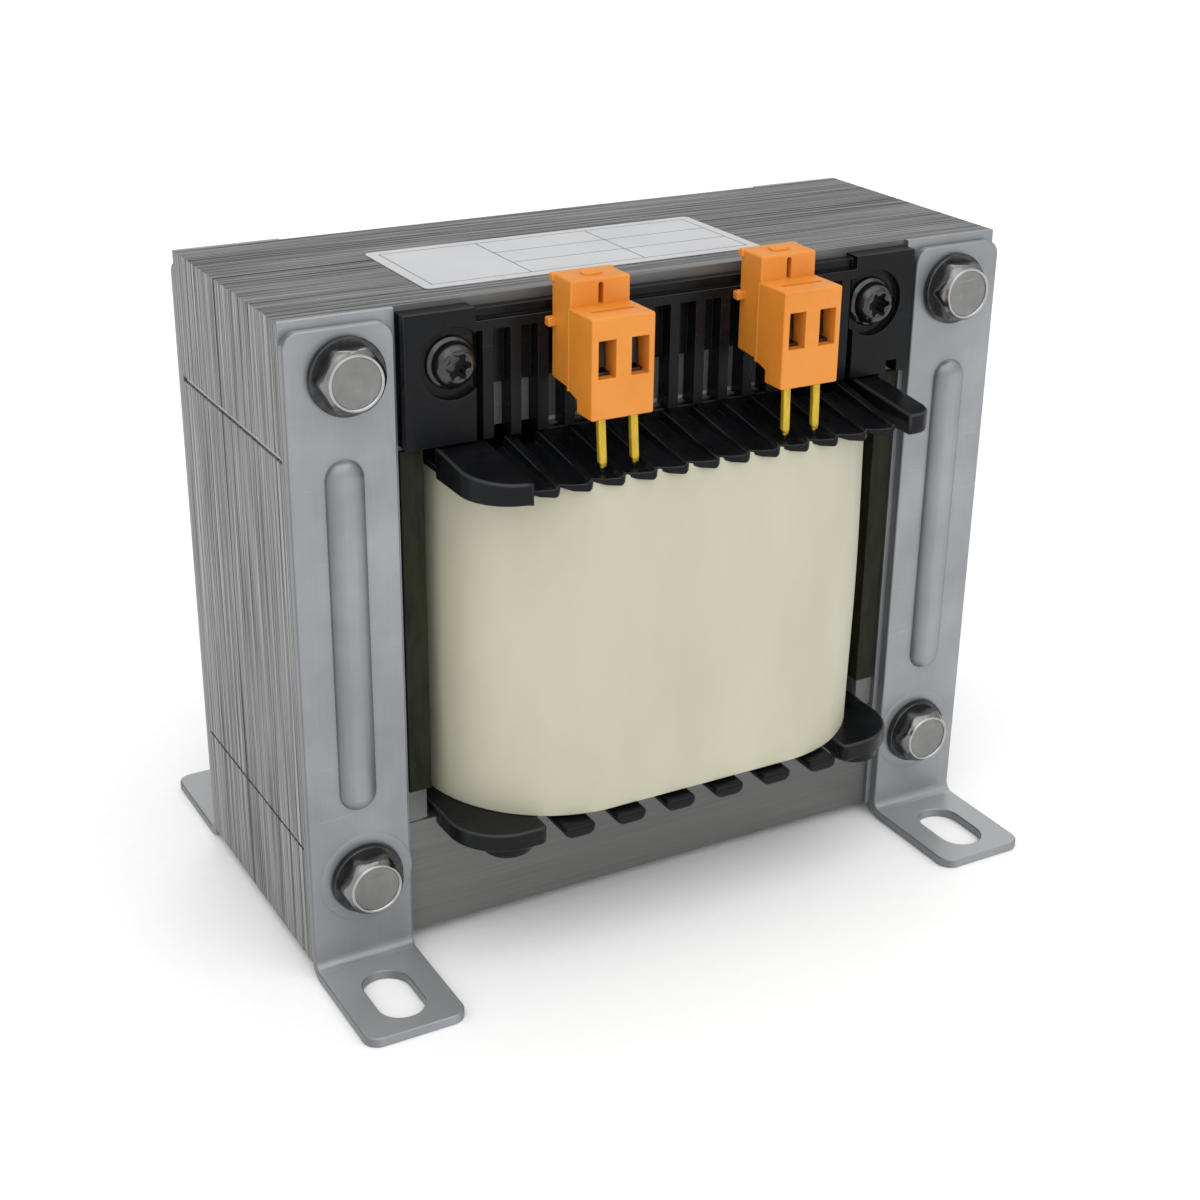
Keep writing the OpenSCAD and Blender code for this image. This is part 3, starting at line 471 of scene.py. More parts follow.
BRACKET_SHEET, BRACKET_BEND = in_mm(2.0, 2.0)
BRACKET_CORNER, BRACKET_EDGE = in_mm(3.0, 0.35)
SLOT_WIDTH, SLOT_LENGTH = in_mm(9.0, 15.5)
BOLT_RISE, BOLT_HOLE = in_mm(98.0, 3.3)
NEARLY_ROUND = 0.998
BEAD_WIDTH, BEAD_RISE, BEAD_MARGIN = in_mm(7.2, 1.9, 14.8)
BEAD_ROOT, BEAD_STEPS, BEAD_TURN = 0.4 * MM, 9, 24
RING_RADIUS, RING_WIDTH, RING_RISE = in_mm(8.1, 2.4, 0.13)
RING_STEPS, RING_TURN = 8, 72

washer_low, washer_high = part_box("front_washers")
washer_radius = (washer_high.z - washer_low.z - BOLT_RISE) / 2
bolt_x = washer_high.x - washer_radius
bolt_low, bolt_high = washer_low.z + washer_radius, washer_high.z - washer_radius


def outwards(bm):
    """Turns every face outwards."""
    bmesh.ops.recalc_face_normals(bm, faces=bm.faces[:])


def mirror(bm, flip):
    """Flips a bmesh by a sign for each axis."""
    bmesh.ops.scale(bm, vec=flip, verts=bm.verts[:])
    outwards(bm)


def push_faces(bm, faces, push):
    """Extrudes those faces by that push."""
    made = bmesh.ops.extrude_face_region(bm, geom=faces)["geom"]
    verts = [item for item in made if isinstance(item, bmesh.types.BMVert)]
    bmesh.ops.translate(bm, verts=verts, vec=push)


def prism(outline, push):
    """A bmesh of a flat outline pushed into a solid."""
    bm = bmesh.new()
    push_faces(bm, [bm.faces.new([bm.verts.new(point) for point in outline])], push)
    outwards(bm)
    return bm


def next_cap(bm, cap, first):
    """Extrudes a cap and drops the old one, unless it is the first."""
    made = bmesh.ops.extrude_face_region(bm, geom=[cap])["geom"]
    if not first:
        bmesh.ops.delete(bm, geom=[cap], context="FACES_ONLY")
    return next(item for item in made if isinstance(item, bmesh.types.BMFace))


def spin(bm, section, x, z, steps, closed=False):
    """Spins a section of radii and depths round an axis along Y."""
    verts = [bm.verts.new((x + radius, y, z)) for radius, y in section]
    edges = [bm.edges.new(ends) for ends in zip(verts, verts[1:] + verts[:closed])]
    bmesh.ops.spin(bm, geom=verts + edges, cent=(x, 0, z), axis=(0, 1, 0),
                   angle=math.tau, steps=steps, use_merge=True)


def edges_along(bm, axis, test=lambda middle: True):
    """The straight edges along that axis whose middle passes the test."""
    found = []
    for edge in bm.edges:
        start, end = (vert.co for vert in edge.verts)
        run = end - start
        if abs(run["xyz".index(axis)]) > 0.999 * run.length and test((start + end) / 2):
            found.append(edge)
    return found


def cut_window(bm, axes, middle, size):
    """Cuts a bmesh along the sides of a window."""
    for axis, place, length in zip(axes, middle, size):
        cut_at(bm, axis, place - length / 2)
        cut_at(bm, axis, place + length / 2)


def pierce(bm, axes, middle, size, radius):
    """Cuts a round-cornered hole through a plate that lies in those two axes."""
    cut_window(bm, axes, middle, size)
    flat = ["xyz".index(axis) for axis in axes]
    through = ({0, 1, 2} - set(flat)).pop()
    lids = [
        face for face in bm.faces
        if abs(face.normal[through]) > 0.99
        and all(abs(face.calc_center_median()[i] - m) < s / 2 - MERGE
                for i, m, s in zip(flat, middle, size))
    ]
    rims = [edge for edge in dict.fromkeys(e for face in lids for e in face.edges)
            if sum(face in lids for face in edge.link_faces) == 1]
    bmesh.ops.delete(bm, geom=lids, context="FACES_ONLY")
    walls = bmesh.ops.bridge_loops(bm, edges=rims)["faces"]
    corners = dict.fromkeys(edge for face in walls for edge in face.edges
                            if all(link in walls for link in edge.link_faces))
    ease(bm, corners, radius * NEARLY_ROUND, 10, clamp=False)


def press_bead(bm, x, low_z, high_z, face_y):
    """A long round-ended bead on the upright's front face."""
    half = BEAD_WIDTH / 2
    outline = []
    for spine, first in ((high_z - half, 0), (low_z + half, math.pi)):
        for k in range(BEAD_TURN + 1):
            turn = first + math.pi * k / BEAD_TURN
            outline.append((x + half * math.cos(turn), face_y + BEAD_ROOT,
                            spine + half * math.sin(turn)))
    cap = bm.faces.new([bm.verts.new(point) for point in outline])
    for step in range(BEAD_STEPS):
        cap = next_cap(bm, cap, step == 0)
        rise = math.pi / 2 * step / BEAD_STEPS
        for vert in cap.verts:
            spine = min(max(vert.co.z, low_z + half), high_z - half)
            across, up = vert.co.x - x, vert.co.z - spine
            reach = half * math.cos(rise) / math.hypot(across, up)
            vert.co = (x + across * reach, face_y - BEAD_RISE * math.sin(rise), spine + up * reach)


def bracket_mesh():
    """The front right bracket."""
    low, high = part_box("front_right_bracket")
    back, face = high.y, high.y - BRACKET_SHEET
    middle = (low.x + high.x) / 2
    profile = [(back, 0), (back, high.z), (face, high.z), (face, BRACKET_SHEET),
               (low.y, BRACKET_SHEET), (low.y, 0)]
    bm = prism([(low.x, y, z) for y, z in profile], (high.x - low.x, 0, 0))
    outside = edges_along(bm, "x", lambda m: m.y > back - MERGE and m.z < MERGE)
    ease(bm, outside, BRACKET_BEND + BRACKET_SHEET, 10)
    inside = edges_along(bm, "x", lambda m: abs(m.y - face) < MERGE and m.z < 2 * BRACKET_SHEET)
    ease(bm, inside, BRACKET_BEND, 10)
    tips = edges_along(bm, "y", lambda m: m.z > high.z - MERGE)
    tips += edges_along(bm, "z", lambda m: m.y < low.y + MERGE)
    ease(bm, tips, BRACKET_CORNER, 8)
    slot_y = (low.y + face - BRACKET_BEND) / 2
    pierce(bm, "xy", (middle, slot_y), (SLOT_WIDTH, SLOT_LENGTH), SLOT_WIDTH / 2)
    for z in (bolt_low, bolt_high):
        pierce(bm, "xz", (bolt_x, z), (2 * BOLT_HOLE, 2 * BOLT_HOLE), BOLT_HOLE)
    join_flats(bm)
    soften(bm, BRACKET_EDGE, clamp=False)
    press_bead(bm, middle, bolt_low + BEAD_MARGIN, bolt_high - BEAD_MARGIN, face)
    half = RING_WIDTH / 2
    turns = [math.pi * k / RING_STEPS for k in range(RING_STEPS + 1)]
    ring = [(RING_RADIUS + half * math.cos(turn), face - RING_RISE * math.sin(turn))
            for turn in turns] + [(RING_RADIUS, face + half)]
    spin(bm, ring, bolt_x, bolt_low, RING_TURN, closed=True)
    return bm


for end, side in CORNERS:
    bm = bracket_mesh()
    mirror(bm, (-1 if side == "left" else 1, -1 if end == "rear" else 1, 1))
    bracket = f"{end}_{side}_bracket"
    make_piece(bm, bracket + "_pressing", zinc, "zinc_sheet", bracket)


# Core bolts
# Plated steel bolts with washers at both ends and a nut behind; the washers are painted near-black
# as painted shade. Each head is a hexagon whose corners are turned off to a round face with a
# raised rim; the thread shows past the nut.
NUT_EDGE, WASHER_EDGE = in_mm(0.16, 0.30)
BOLT_RADIUS = 3.0 * MM
THREAD_PITCH, THREAD_DEPTH, THREAD_RUN = in_mm(1.0, 0.45, 10.0)
HEAD_STEPS, SHANK_STEPS = 72, 32
RIM_FROM, RIM_TO = 0.92, 0.96
PLATING_DARK, PLATING_LIGHT = (0.19, 0.19, 0.187), (0.235, 0.235, 0.23)
PLATING_SCRATCH, RIM_HIGHLIGHT = (0.5, 0.5, 0.48), (0.42, 0.42, 0.41)
WASHER_DARK, WASHER_LIGHT = (0.045, 0.046, 0.048), (0.085, 0.086, 0.088)

bolts_low, bolts_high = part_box("core_bolts")
seat_y, head_rise = washer_low.y, washer_low.y - bolts_low.y

bolt_steel, tree, shader = new_material("bolt_steel", metallic=1.0)
scratches, smudges = marks(tree, 0.5)
plating = blend(tree, grain(tree, 0.35, detail=4), PLATING_DARK, PLATING_LIGHT)
plating = mix(tree, reckon(tree, "MULTIPLY", scratches, 0.2), plating, PLATING_SCRATCH)
# Painted highlight: the raised rim at the top of each head is made lighter than the rest.
rim = add_node(tree, "MapRange", {
    "Value": along(tree, "Y"), "From Min": seat_y - RIM_FROM * head_rise,
    "From Max": seat_y - RIM_TO * head_rise,
}).outputs["Result"]
coat(shader, mix(tree, rim, plating, RIM_HIGHLIGHT),
     ramp(tree, smudges, (0, 0.20), (1, 0.30)), grain(tree, 3.0), 0.006, 0.3)

# The washers' near-black colour is painted shade.
washer_steel, tree, shader = new_material("washer_steel", metallic=1.0)
coat(shader,
     blend(tree, grain(tree, 0.5, detail=4), WASHER_DARK, WASHER_LIGHT),
     blend(tree, grain(tree, 0.2), 0.24, 0.36), grain(tree, 3.0), 0.012, 0.4)


def turned_head(bm, x, z, seat, rise, size, loops):
    """A head of rings on a seat, each by its share of the rise and of the size."""
    ring = bmesh.ops.create_circle(bm, cap_ends=True, segments=HEAD_STEPS, radius=MM)["verts"]
    cap = ring[0].link_faces[0]
    turns = {vert: math.atan2(vert.co.y, vert.co.x) for vert in ring}
    for step, (share, radius) in enumerate(loops):
        if step:
            cap = next_cap(bm, cap, step == 1)
            turns = {vert: math.atan2(vert.co.z - z, vert.co.x - x) for vert in cap.verts}
        for vert, turn in turns.items():
            reach = size * (radius(turn) if callable(radius) else radius)
            vert.co = (x + reach * math.cos(turn), seat - rise * share, z + reach * math.sin(turn))


def hexagon(flat, trim):
    """The radius by angle of a hexagon with its corners trimmed to a circle."""
    def radius(turn):
        past_flat = (turn + math.pi) % (math.pi / 3) - math.pi / 6
        return min(flat / math.cos(past_flat), trim * flat)
    return radius


bolt_places = [(x, z) for x in (-bolt_x, bolt_x) for z in (bolt_low, bolt_high)]
flat = min(bolts_high.x - bolt_x, bolts_high.z - bolt_high)
head_loops = [
    (0.0, hexagon(1.10, 1.12)), (0.50, hexagon(1.10, 1.12)), (0.66, hexagon(1.10, 1.06)),
    (0.78, hexagon(1.10, 1.0)), (0.88, 1.02), (0.95, 1.0), (0.99, 0.975), (1.0, 0.945),
    (0.99, 0.915), (0.95, 0.885), (0.91, 0.875), (0.91, 0.5),
]
bm = bmesh.new()
for x, z in bolt_places:
    turned_head(bm, x, z, seat_y, head_rise, flat, head_loops)
outwards(bm)
make_piece(bm, "core_bolt_heads", bolt_steel, "bolt_steel", "core_bolts")

thread_from = bolts_high.y - THREAD_RUN
profile = [(0, seat_y), (BOLT_RADIUS, seat_y), (BOLT_RADIUS, thread_from)]
for k in range(round(THREAD_RUN / THREAD_PITCH)):
    crest = thread_from + k * THREAD_PITCH
    profile += [(BOLT_RADIUS - THREAD_DEPTH, crest + THREAD_PITCH / 2),
                (BOLT_RADIUS, crest + THREAD_PITCH * 0.9)]
profile += [(BOLT_RADIUS - THREAD_DEPTH * 1.5, bolts_high.y), (0, bolts_high.y)]
bm = bmesh.new()
for x, z in bolt_places:
    spin(bm, profile, x, z, SHANK_STEPS)
bmesh.ops.remove_doubles(bm, verts=bm.verts[:], dist=MERGE)
outwards(bm)
make_piece(bm, "core_bolt_shanks", bolt_steel, "bolt_steel", "core_bolts")

for group in ("front_washers", "rear_washers"):
    make_piece(eased_copy(group, WASHER_EDGE), group + "_rings", washer_steel, "bolt_steel", group)
make_piece(eased_copy("core_nuts", NUT_EDGE, 2), "core_nut_hexagons", bolt_steel,
           "bolt_steel", "core_nuts")


# Winding
# Enamelled copper wire, layer on layer, with only its ends and underside to be glimpsed between
# the flange and the wrap.
WIRE_PITCH = 2.0 * MM
COPPER_DARK, COPPER_LIGHT = (0.16, 0.05, 0.02), (0.48, 0.17, 0.07)

copper, tree, shader = new_material("copper_winding", metallic=0.9, roughness=0.35)
# Each turn is darker in the groove between turns, a painted shade, and lighter on its crest, a
# painted highlight.
turn = reckon(tree, "MULTIPLY", along(tree, "Z"), math.tau / WIRE_PITCH)
wires = reckon(tree, "SINE", turn)
coat(shader, ramp(tree, wires, (0.0, COPPER_DARK), (1.0, COPPER_LIGHT)), None, wires, 0.3)
dress_node("winding", copper)


# Coil wrap
# A stiff cream insulating foil wound round the winding and lapped on the rear face. It bows out
# very slightly between its edges.
WRAP_CORNER, WRAP_THICK, WRAP_EDGE = in_mm(27.0, 0.8, 0.25)
WRAP_BOW, WRAP_ROWS = 0.35 * MM, 24
LAP_WIDTH, LAP_THICK = in_mm(34.0, 0.35)
CREAM_SHADE, CREAM, CREAM_LIGHT = (
    (0.455, 0.441, 0.327), (0.483, 0.469, 0.349), (0.511, 0.497, 0.372)
)

wrap_low, wrap_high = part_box("coil_wrap")
wrap_height = wrap_high.z - wrap_low.z


def box_between(low, high):
    """A bmesh of a box between two corners."""
    bm = bmesh.new()
    low, high = Vector(low), Vector(high)
    place = Matrix.Translation((low + high) / 2) @ Matrix.Diagonal((*(high - low), 1))
    bmesh.ops.create_cube(bm, size=1, matrix=place)
    return bm


def cut_rows(bm):
    """Cuts the foil into rows, so that it can bow."""
    for k in range(1, WRAP_ROWS):
        cut_at(bm, "z", wrap_low.z + wrap_height * k / WRAP_ROWS)


def bow(z):
    """How far the foil stands out at that height."""
    rise = 2 * (z - wrap_low.z) / wrap_height - 1
    return WRAP_BOW * (1 - rise * rise) ** 2


foil, tree, shader = new_material(
    "cream_foil", specular_ior_level=0.45, sheen_weight=0.15, sheen_roughness=0.4,
)
smudges = marks(tree, 0.08)[1]
bands = grain(tree, 0.06, (1, 1, 0.35))
fibres = grain(tree, 1.6, (0.35, 0.35, 1), detail=4)
cream = ramp(tree, bands, (0.3, CREAM_SHADE), (0.5, CREAM), (0.72, CREAM_LIGHT))
cream = mix(tree, 0.12, cream, blend(tree, fibres, CREAM_SHADE, CREAM_LIGHT))
coat(shader, cream, ramp(tree, smudges, (0, 0.40), (1, 0.52)), fibres, 0.02, 0.35)

bm = box_between(wrap_low, wrap_high)
ends = [face for face in bm.faces if abs(face.normal.z) > 0.9]
bmesh.ops.delete(bm, geom=ends, context="FACES_ONLY")
ease(bm, edges_along(bm, "z"), WRAP_CORNER, 24)
cut_rows(bm)
for vert in bm.verts:
    vert.co.x *= 1 + bow(vert.co.z) / wrap_high.x
    vert.co.y *= 1 + bow(vert.co.z) / wrap_high.y
wrap = make_piece(bm, "coil_foil", foil, "coil_tape", "coil_wrap")
wall = wrap.modifiers.new("foil", "SOLIDIFY")
wall.thickness, wall.offset = WRAP_THICK, -1
rim = wrap.modifiers.new("foil_edge", "BEVEL")
rim.width, rim.segments, rim.limit_method = WRAP_EDGE, 2, "ANGLE"
wrap.modifiers.move(0, len(wrap.modifiers) - 1)

back = wrap_high.y
bm = box_between((-LAP_WIDTH / 2, back - LAP_THICK, wrap_low.z + LAP_THICK),
                 (LAP_WIDTH / 2, back + WRAP_BOW + LAP_THICK, wrap_high.z - LAP_THICK))
cut_rows(bm)
for vert in bm.verts:
    if vert.co.y > back:
        vert.co.y = back + LAP_THICK + bow(vert.co.z)
soften(bm, LAP_THICK / 3, 2)
make_piece(bm, "coil_foil_lap", foil, "coil_tape")


# Bobbin
# One black moulding: a tube round the centre limb with a flange at each end. Fins and corner wings
# on the upper flange guide the leads and hold the foil; tabs and lobes do so below.
FLANGE_THICK = 1.4 * MM
FLANGE_OVER, FLANGE_INSET, FLANGE_STEP = in_mm(0.3, 2.5, 3.5)
TUBE_OVER, TUBE_WALL = in_mm(2.0, 1.5)
FIN_PITCH, FIN_THICK, FIN_NOSE, FIN_PAIRS = 6.5 * MM, 1.6 * MM, 1.3 * MM, 6
FIN_TIP, RIDGE_ROOT, RIDGE_TIP, RIDGE_SLOPE = in_mm(0.8, 2.2, 1.2, 0.4)
NOSE_FROM, NOSE_NARROW = 0.9, 0.2 * MM
HANG_BACK, HANG_RUN = in_mm(0.2, 0.5)
DROP_ROOT, DROP_TIP, LEAF_SHEET = in_mm(2.4, 0.6, 0.45)
LEAF_ALONG = (0.15, 0.3, 0.45, 0.6, 0.72, 0.82, 0.88, 0.93, 0.97)
LEAF_ACROSS = {  # how far each column stops short, its share of the drop, and how far it hangs
    0.0: (2.6 * MM, 1.2, 0.1 * MM), 0.35: (0.9 * MM, 1.05, 1.0 * MM),
    0.6: (0.2 * MM, 0.9, 1.25 * MM), 0.7: (0.0, 0.1, 1.15 * MM),
    0.85: (0.2 * MM, 0.0, 0.75 * MM), 1.0: (0.9 * MM, 0.15, 0.1 * MM),
}
WINGS = {-1: in_mm(37.9, 10.0), 1: in_mm(41.7, 3.6)}  # by side: start, corner
WING_RISE, WING_SKIRT, WING_SIDE, WING_OVER = in_mm(2.8, 1.3, 0.8, 2.8)
LOBE_FROM, LOBE_CORNER, LOBE_NOSE = in_mm(33.6, 11.0, 1.4)
LOBE_THICK, LOBE_OVER = in_mm(3.8, 0.3)
STUD_RADIUS, STUD_RISE, STUD_INSET, STUD_EDGE = in_mm(4.9, 1.6, 1.2, 0.8)
TAB_PITCH, TAB_WIDTH, TAB_PAIRS = 11 * MM, 6.4 * MM, 3
TAB_OVER, TAB_THICK, TAB_CORNER = in_mm(2.0, 1.9, 1.7)
ROOT_Y = 28.4 * MM
PLATE_Y, PLATE_THICK = ROOT_Y + 1.0 * MM, FLANGE_THICK * 0.98
MOULD_EDGE = 0.28 * MM
LEAF_EDGE, BLOCK_EDGE, TAB_EDGE = 0.8 * MOULD_EDGE, 2.2 * MOULD_EDGE, 2.8 * MOULD_EDGE
PLASTIC_DARK, PLASTIC_LIGHT = (0.0035, 0.004, 0.0048), (0.0065, 0.007, 0.0082)
PLASTIC_SCRATCH, PLASTIC_HIGHLIGHT = (0.05, 0.05, 0.055), (0.034, 0.035, 0.038)

black_plastic, tree, shader = new_material("black_plastic", specular_ior_level=0.16)
scratches, smudges = marks(tree, 0.3)
black = blend(tree, grain(tree, 0.15, detail=4), PLASTIC_DARK, PLASTIC_LIGHT)
black = mix(tree, reckon(tree, "MULTIPLY", scratches, 0.35), black, PLASTIC_SCRATCH)
# Painted highlight: a lighter grey along the marked edges.
edge_highlight = add_node(tree, "Attribute", attribute_name="edge_highlight").outputs["Fac"]
coat(shader, mix(tree, edge_highlight, black, PLASTIC_HIGHLIGHT),
     ramp(tree, smudges, (0, 0.20), (1, 0.32)), grain(tree, 4.0, detail=2), 0.015, 0.4)

bobbin_low, bobbin_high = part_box("bobbin")
coil_x, coil_y = wrap_high.x, wrap_high.y
coil_top, coil_low = wrap_high.z, wrap_low.z
limb_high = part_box("centre_limb")[1]
tube_x, tube_y = limb_high.x + TUBE_OVER, limb_high.y + TUBE_OVER


def add_shell(bm, shell, edge=None, segments=3):
    """Adds a bmesh to another, its sharp edges rounded if their width is given."""
    if edge:
        soften(shell, edge, segments)
    mesh = bpy.data.meshes.new("shell")
    shell.to_mesh(mesh)
    shell.free()
    bm.from_mesh(mesh)
    bpy.data.meshes.remove(mesh)


def add_box(bm, low, high, edge):
    """Adds a box with rounded edges."""
    add_shell(bm, box_between(low, high), edge)


def flange(bm, z, over, thick):
    """A flat flange in the coil's rounded outline."""
    x, y = coil_x + over, coil_y + over
    shell = box_between((-x, -y, z), (x, y, z + thick))
    ease(shell, edges_along(shell, "z"), WRAP_CORNER + over, 16)
    add_shell(bm, shell, MOULD_EDGE)


def leaf(bm, x):
    """One guide of the upper flange: a ridge narrowing to its tip, a leaf falling to its left."""
    shell = box_between((0, 0, 0), (1, 1, 1))
    for share in list(LEAF_ACROSS)[1:-1]:
        cut_at(shell, "x", share)
    for share in LEAF_ALONG:
        cut_at(shell, "y", share)
    tip, front = coil_y + FLANGE_OVER + FIN_NOSE, coil_y + FLANGE_OVER
    right, left = x + FIN_THICK / 2, x - FIN_PITCH + FIN_THICK / 4
    for vert in shell.verts:
        across, share, top = vert.co
        column = min(LEAF_ACROSS, key=lambda place: abs(place - across))
        short, fall, hang = LEAF_ACROSS[column]
        y = ROOT_Y + (tip - short - ROOT_Y) * share
        reach = (y - ROOT_Y) / (tip - ROOT_Y)
        ridge = RIDGE_ROOT + (RIDGE_TIP - RIDGE_ROOT) * reach
        ridge -= NOSE_NARROW * max(0, share - NOSE_FROM) / (1 - NOSE_FROM)
        foot = right - ridge - RIDGE_SLOPE
        vert.co.x = {0.0: left, 0.35: left + 0.55 * (foot - left), 0.6: foot,
                     0.7: right - ridge, 0.85: right - ridge / 2, 1.0: right}[column]
        vert.co.y = -y
        if top > 0.5:
            drop = DROP_ROOT + (DROP_TIP - DROP_ROOT) * reach
            vert.co.z = bobbin_high.z + (coil_top + FIN_TIP - bobbin_high.z) * reach - fall * drop
        else:
            vert.co.z = coil_top - hang * min(1, max(0, (y - front + HANG_BACK) / HANG_RUN))
    outwards(shell)
    soften(shell, LEAF_EDGE, 2, above=45)
    add_shell(bm, shell)


def corner_block(bm, x_from, side, front, corner, low_z, high_z, slope=0.0, nose=None):
    """A block at a front corner of the coil, its top falling forwards."""
    shell = box_between((x_from, -front, low_z), (side, -ROOT_Y, high_z))
    inner, rear = x_from + MERGE, -ROOT_Y - MERGE
    ease(shell, edges_along(shell, "z", lambda m: m.x > inner and m.y < rear), corner, 14)
    if nose:
        ease(shell, edges_along(shell, "z", lambda m: m.x < inner and m.y < rear), nose, 6)
    for vert in shell.verts:
        if vert.co.z > high_z - MERGE:
            vert.co.z -= slope * (-ROOT_Y - vert.co.y) / (front - ROOT_Y)
    add_shell(bm, shell, BLOCK_EDGE)


def front_half(bm):
    """Everything that overhangs the coil at the front."""
    for k in range(-FIN_PAIRS, FIN_PAIRS + 1):
        leaf(bm, k * FIN_PITCH)
    tab_top = coil_low - FLANGE_THICK
    tab_low = tab_top - TAB_THICK
    for k in range(-TAB_PAIRS, TAB_PAIRS):
        x = (k + 0.5) * TAB_PITCH
        shell = box_between((x - TAB_WIDTH / 2, -coil_y - TAB_OVER, tab_low),
                            (x + TAB_WIDTH / 2, -ROOT_Y, tab_top + FLANGE_THICK / 2))
        ease(shell, edges_along(shell, "y", lambda m: m.z < tab_low + MERGE), TAB_CORNER, 7)
        add_shell(bm, shell, TAB_EDGE, 4)
    for flip, (wing_from, wing_corner) in WINGS.items():
        half = bmesh.new()
        corner_block(half, wing_from, coil_x + WING_SIDE, coil_y + WING_OVER, wing_corner,
                     coil_top - WING_SKIRT, bobbin_high.z, bobbin_high.z - coil_top - WING_RISE)
        corner_block(half, LOBE_FROM, bobbin_high.x, coil_y + LOBE_OVER, LOBE_CORNER,
                     coil_low - LOBE_THICK, coil_low, nose=LOBE_NOSE)
        stud = bmesh.ops.create_cone(
            half, cap_ends=True, segments=40, radius1=STUD_RADIUS, radius2=STUD_RADIUS,
            depth=STUD_RISE + LOBE_THICK / 2,
            matrix=Matrix.Translation((LOBE_FROM + STUD_RADIUS + STUD_INSET,
                                       -coil_y - LOBE_OVER + STUD_RADIUS + FLANGE_OVER,
                                       coil_low - LOBE_THICK * 0.75 - STUD_RISE / 2)),
        )["verts"]
        stud_edges = dict.fromkeys(edge for vert in stud for edge in vert.link_edges)
        ease(half, [e for e in stud_edges if e.calc_face_angle(0) > 1], STUD_EDGE, 4)
        mirror(half, (flip, 1, 1))
        add_shell(bm, half)


bm = bmesh.new()
flange(bm, coil_top, -FLANGE_STEP, LEAF_SHEET)
flange(bm, coil_low - FLANGE_THICK, -FLANGE_INSET, FLANGE_THICK)
for reach, z in ((coil_x + WING_SIDE, coil_top), (bobbin_high.x, coil_low - FLANGE_THICK)):
    add_box(bm, (-reach, -PLATE_Y, z), (reach, PLATE_Y, z + PLATE_THICK), MOULD_EDGE)
for flip in (1, -1):
    half = bmesh.new()
    front_half(half)
    mirror(half, (1, flip, 1))
    add_shell(bm, half)
for low, high in (
    ((-tube_x, -tube_y), (tube_x, -tube_y + TUBE_WALL)),
    ((-tube_x, tube_y - TUBE_WALL), (tube_x, tube_y)),
    ((-tube_x, -tube_y), (-tube_x + TUBE_WALL, tube_y)),
    ((tube_x - TUBE_WALL, -tube_y), (tube_x, tube_y)),
):
    add_box(bm, (*low, bobbin_low.z + STUD_RISE), (*high, bobbin_high.z), MOULD_EDGE)
make_piece(bm, "bobbin_moulding", black_plastic, "black_plastic", "bobbin")


# Terminal carrier and its screws
# A ribbed black moulding across the front of the top yoke, with a block at each end. Two dark pan
# head screws with six-lobe sockets hold it to the laminations.
CARRIER_EDGE = 0.22 * MM
SCREW_SEAT = -28.9 * MM
OXIDE_DARK, OXIDE_LIGHT = (0.006, 0.006, 0.0065), (0.014, 0.014, 0.015)
OXIDE_SCRATCH = (0.06, 0.06, 0.06)

make_piece(eased_copy("terminal_carrier", CARRIER_EDGE), "terminal_carrier_moulding",
           black_plastic, "black_plastic", "terminal_carrier")

black_screw, tree, shader = new_material("black_screw", metallic=0.2, specular_ior_level=0.9)
scratches, smudges = marks(tree, 0.6)
oxide = blend(tree, grain(tree, 0.5, detail=4), OXIDE_DARK, OXIDE_LIGHT)
coat(shader, mix(tree, scratches, oxide, OXIDE_SCRATCH),
     ramp(tree, smudges, (0, 0.12), (1, 0.22)), grain(tree, 3.0), 0.01, 0.3)


def six_lobes(middle, lobe):
    """The radius by angle of a six-lobe socket."""
    return lambda turn: middle + lobe * math.cos(6 * turn)


screws_low, screws_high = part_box("carrier_screws")
screw_radius = (screws_high.z - screws_low.z) / 2
screw_x, screw_z = screws_high.x - screw_radius, (screws_high.z + screws_low.z) / 2
screw_loops = [
    (-0.5, 0.4), (0.0, 0.4), (0.0, 0.97), (0.06, 1.0), (0.16, 1.0), (0.24, 0.95), (0.30, 0.86),
    (0.62, 0.83), (0.82, 0.76), (0.94, 0.66), (1.0, 0.57), (0.98, six_lobes(0.47, 0.05)),
    (0.93, six_lobes(0.43, 0.07)), (0.25, six_lobes(0.42, 0.07)),
]
bm = bmesh.new()
for x in (-screw_x, screw_x):
    turned_head(bm, x, screw_z, SCREW_SEAT, SCREW_SEAT - screws_low.y, screw_radius, screw_loops)
outwards(bm)
make_piece(bm, "carrier_screw_heads", black_screw, "black_screw", "carrier_screws")


# Terminals
# Two orange spring terminals, each a moulded housing with two wire entries, hooked over the
# carrier's rail. A step, a slot and a raised pad on top are the marks of the mould and the release.
TERMINAL_X, TERMINAL_HALF, TERMINAL_STEP = in_mm(19.5, 6.2, 0.3)
TERMINAL_EDGE = 0.42 * MM
UPPER_HEIGHT, UPPER_DEPTH = in_mm(4.6, 7.0)
FRONT_HEIGHT, FRONT_FOOT, FOOT_RISE = in_mm(18.1, 5.6, 2.3)
REAR_RISE, REAR_FALL = in_mm(3.9, 0.7)
KEY_WIDTH, KEY_DEPTH, KEY_HEIGHT = in_mm(1.0, 2.2, 3.9)
ENTRY_WIDTH, ENTRY_HEIGHT, ENTRY_DEPTH, ENTRY_DROP = in_mm(3.5, 6.8, 9.6, 3.9)
GROOVE_LENGTH, GROOVE_WIDTH, GROOVE_DEPTH = in_mm(8.6, 0.9, 0.4)
PAD_WIDTH, PAD_DEPTH, PAD_RISE = in_mm(3.8, 2.5, 0.4)
PAD_CORNER, PAD_EDGE = in_mm(0.9, 0.15)
LATCH_REACH, LATCH_DEPTH, LATCH_HEIGHT = in_mm(1.2, 1.8, 1.7)
LATCH_DROP, LATCH_EDGE = in_mm(4.6, 0.35)
